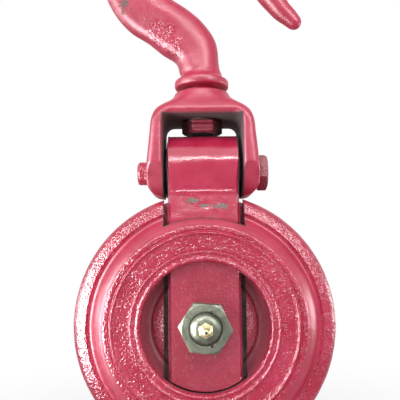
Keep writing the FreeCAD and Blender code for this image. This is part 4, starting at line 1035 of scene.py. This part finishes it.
def make_room():
    """A white room: the camera and the gloss see it white, and it lights the block softly."""
    world = bpy.data.worlds.new("white_room")
    world.use_nodes = True
    tree = world.node_tree
    tree.nodes.clear()
    path = tree.nodes.new("ShaderNodeLightPath")
    seen = Value(tree, path.outputs["Is Camera Ray"])
    for output in ("Is Glossy Ray", "Is Transmission Ray"):
        seen = seen.most(Value(tree, path.outputs[output]))
    strength = seen * (1 - ROOM_LIGHT) + ROOM_LIGHT
    background = tree.nodes.new("ShaderNodeBackground")
    background.inputs["Color"].default_value = WHITE
    tree.links.new(strength.socket, background.inputs["Strength"])
    output = tree.nodes.new("ShaderNodeOutputWorld")
    tree.links.new(background.outputs[0], output.inputs[0])
    bpy.context.scene.world = world


def make_lamp(name, turn, rise, distance, size, brightness, gloss_only=False, level=-0.30):
    """A flat lamp, turned from the front towards the right and raised by so many degrees.

    It faces a point on the block's axis at that level, from that distance. A lamp for the gloss only
    is mirrored by shiny faces and sheds no light on the paint.
    """
    target = Vector((0, 0, level))
    turn, rise = math.radians(turn), math.radians(rise)
    way = Vector((
        math.sin(turn) * math.cos(rise), -math.cos(turn) * math.cos(rise), math.sin(rise)))
    lamp = bpy.data.lights.new(name, "AREA")
    lamp.shape = "RECTANGLE"
    lamp.size, lamp.size_y = size
    lamp.energy = brightness * math.pi * size[0] * size[1]
    holder = bpy.data.objects.new(name, lamp)
    holder.location = target + way * distance
    holder.rotation_euler = (-way).to_track_quat("-Z", "Y").to_euler()
    holder.visible_diffuse = not gloss_only
    holder.visible_camera = False
    bpy.context.scene.collection.objects.link(holder)


def make_camera():
    """The photograph's own view: close in front, a little above the pin and looking slightly up."""
    camera = bpy.data.cameras.new("camera")
    camera.sensor_width = 36
    camera.lens = 46.58
    camera.clip_start = 0.01
    camera.clip_end = 20
    holder = bpy.data.objects.new("camera", camera)
    holder.location = (-0.0076, -0.440, -0.3036)
    turn = Matrix.Rotation(math.radians(-0.66), 4, "Z")
    tilt = Matrix.Rotation(math.radians(95.52), 4, "X")
    roll = Matrix.Rotation(math.radians(-0.7), 4, "Z")
    holder.rotation_euler = (turn @ tilt @ roll).to_euler()
    bpy.context.scene.collection.objects.link(holder)
    bpy.context.scene.camera = holder


make_floor()
make_room()

make_lamp("front_light", 0, 54, 1.2, (1.4, 0.9), 2.25)
make_lamp("front_strip", 0, 40.5, 1.2, (1.5, 0.07), 60, gloss_only=True)
make_lamp("near_window", -58.6, 0, 0.396, (0.20, 0.27), 32, gloss_only=True, level=-0.33)
make_lamp("low_window", -59.2, 0, 0.273, (0.15, 0.08), 32, gloss_only=True, level=-0.432)
make_lamp("left_window", -70, 6, 1.2, (0.7, 0.9), 12, gloss_only=True)
make_lamp("left_fill", -60, 5, 1.2, (0.7, 1.0), 2.0)
make_lamp("right_fill", 60, 5, 1.2, (0.7, 1.0), 0.8)
make_lamp("far_left_window", -100, -4, 1.2, (0.7, 0.40), 10, gloss_only=True)
make_lamp("right_window", 100, -6, 1.2, (0.7, 0.40), 18, gloss_only=True)
make_lamp("upper_right_window", 38, 22, 1.2, (0.5, 0.4), 16, gloss_only=True)
make_camera()
bpy.context.scene.view_settings.view_transform = "Standard"
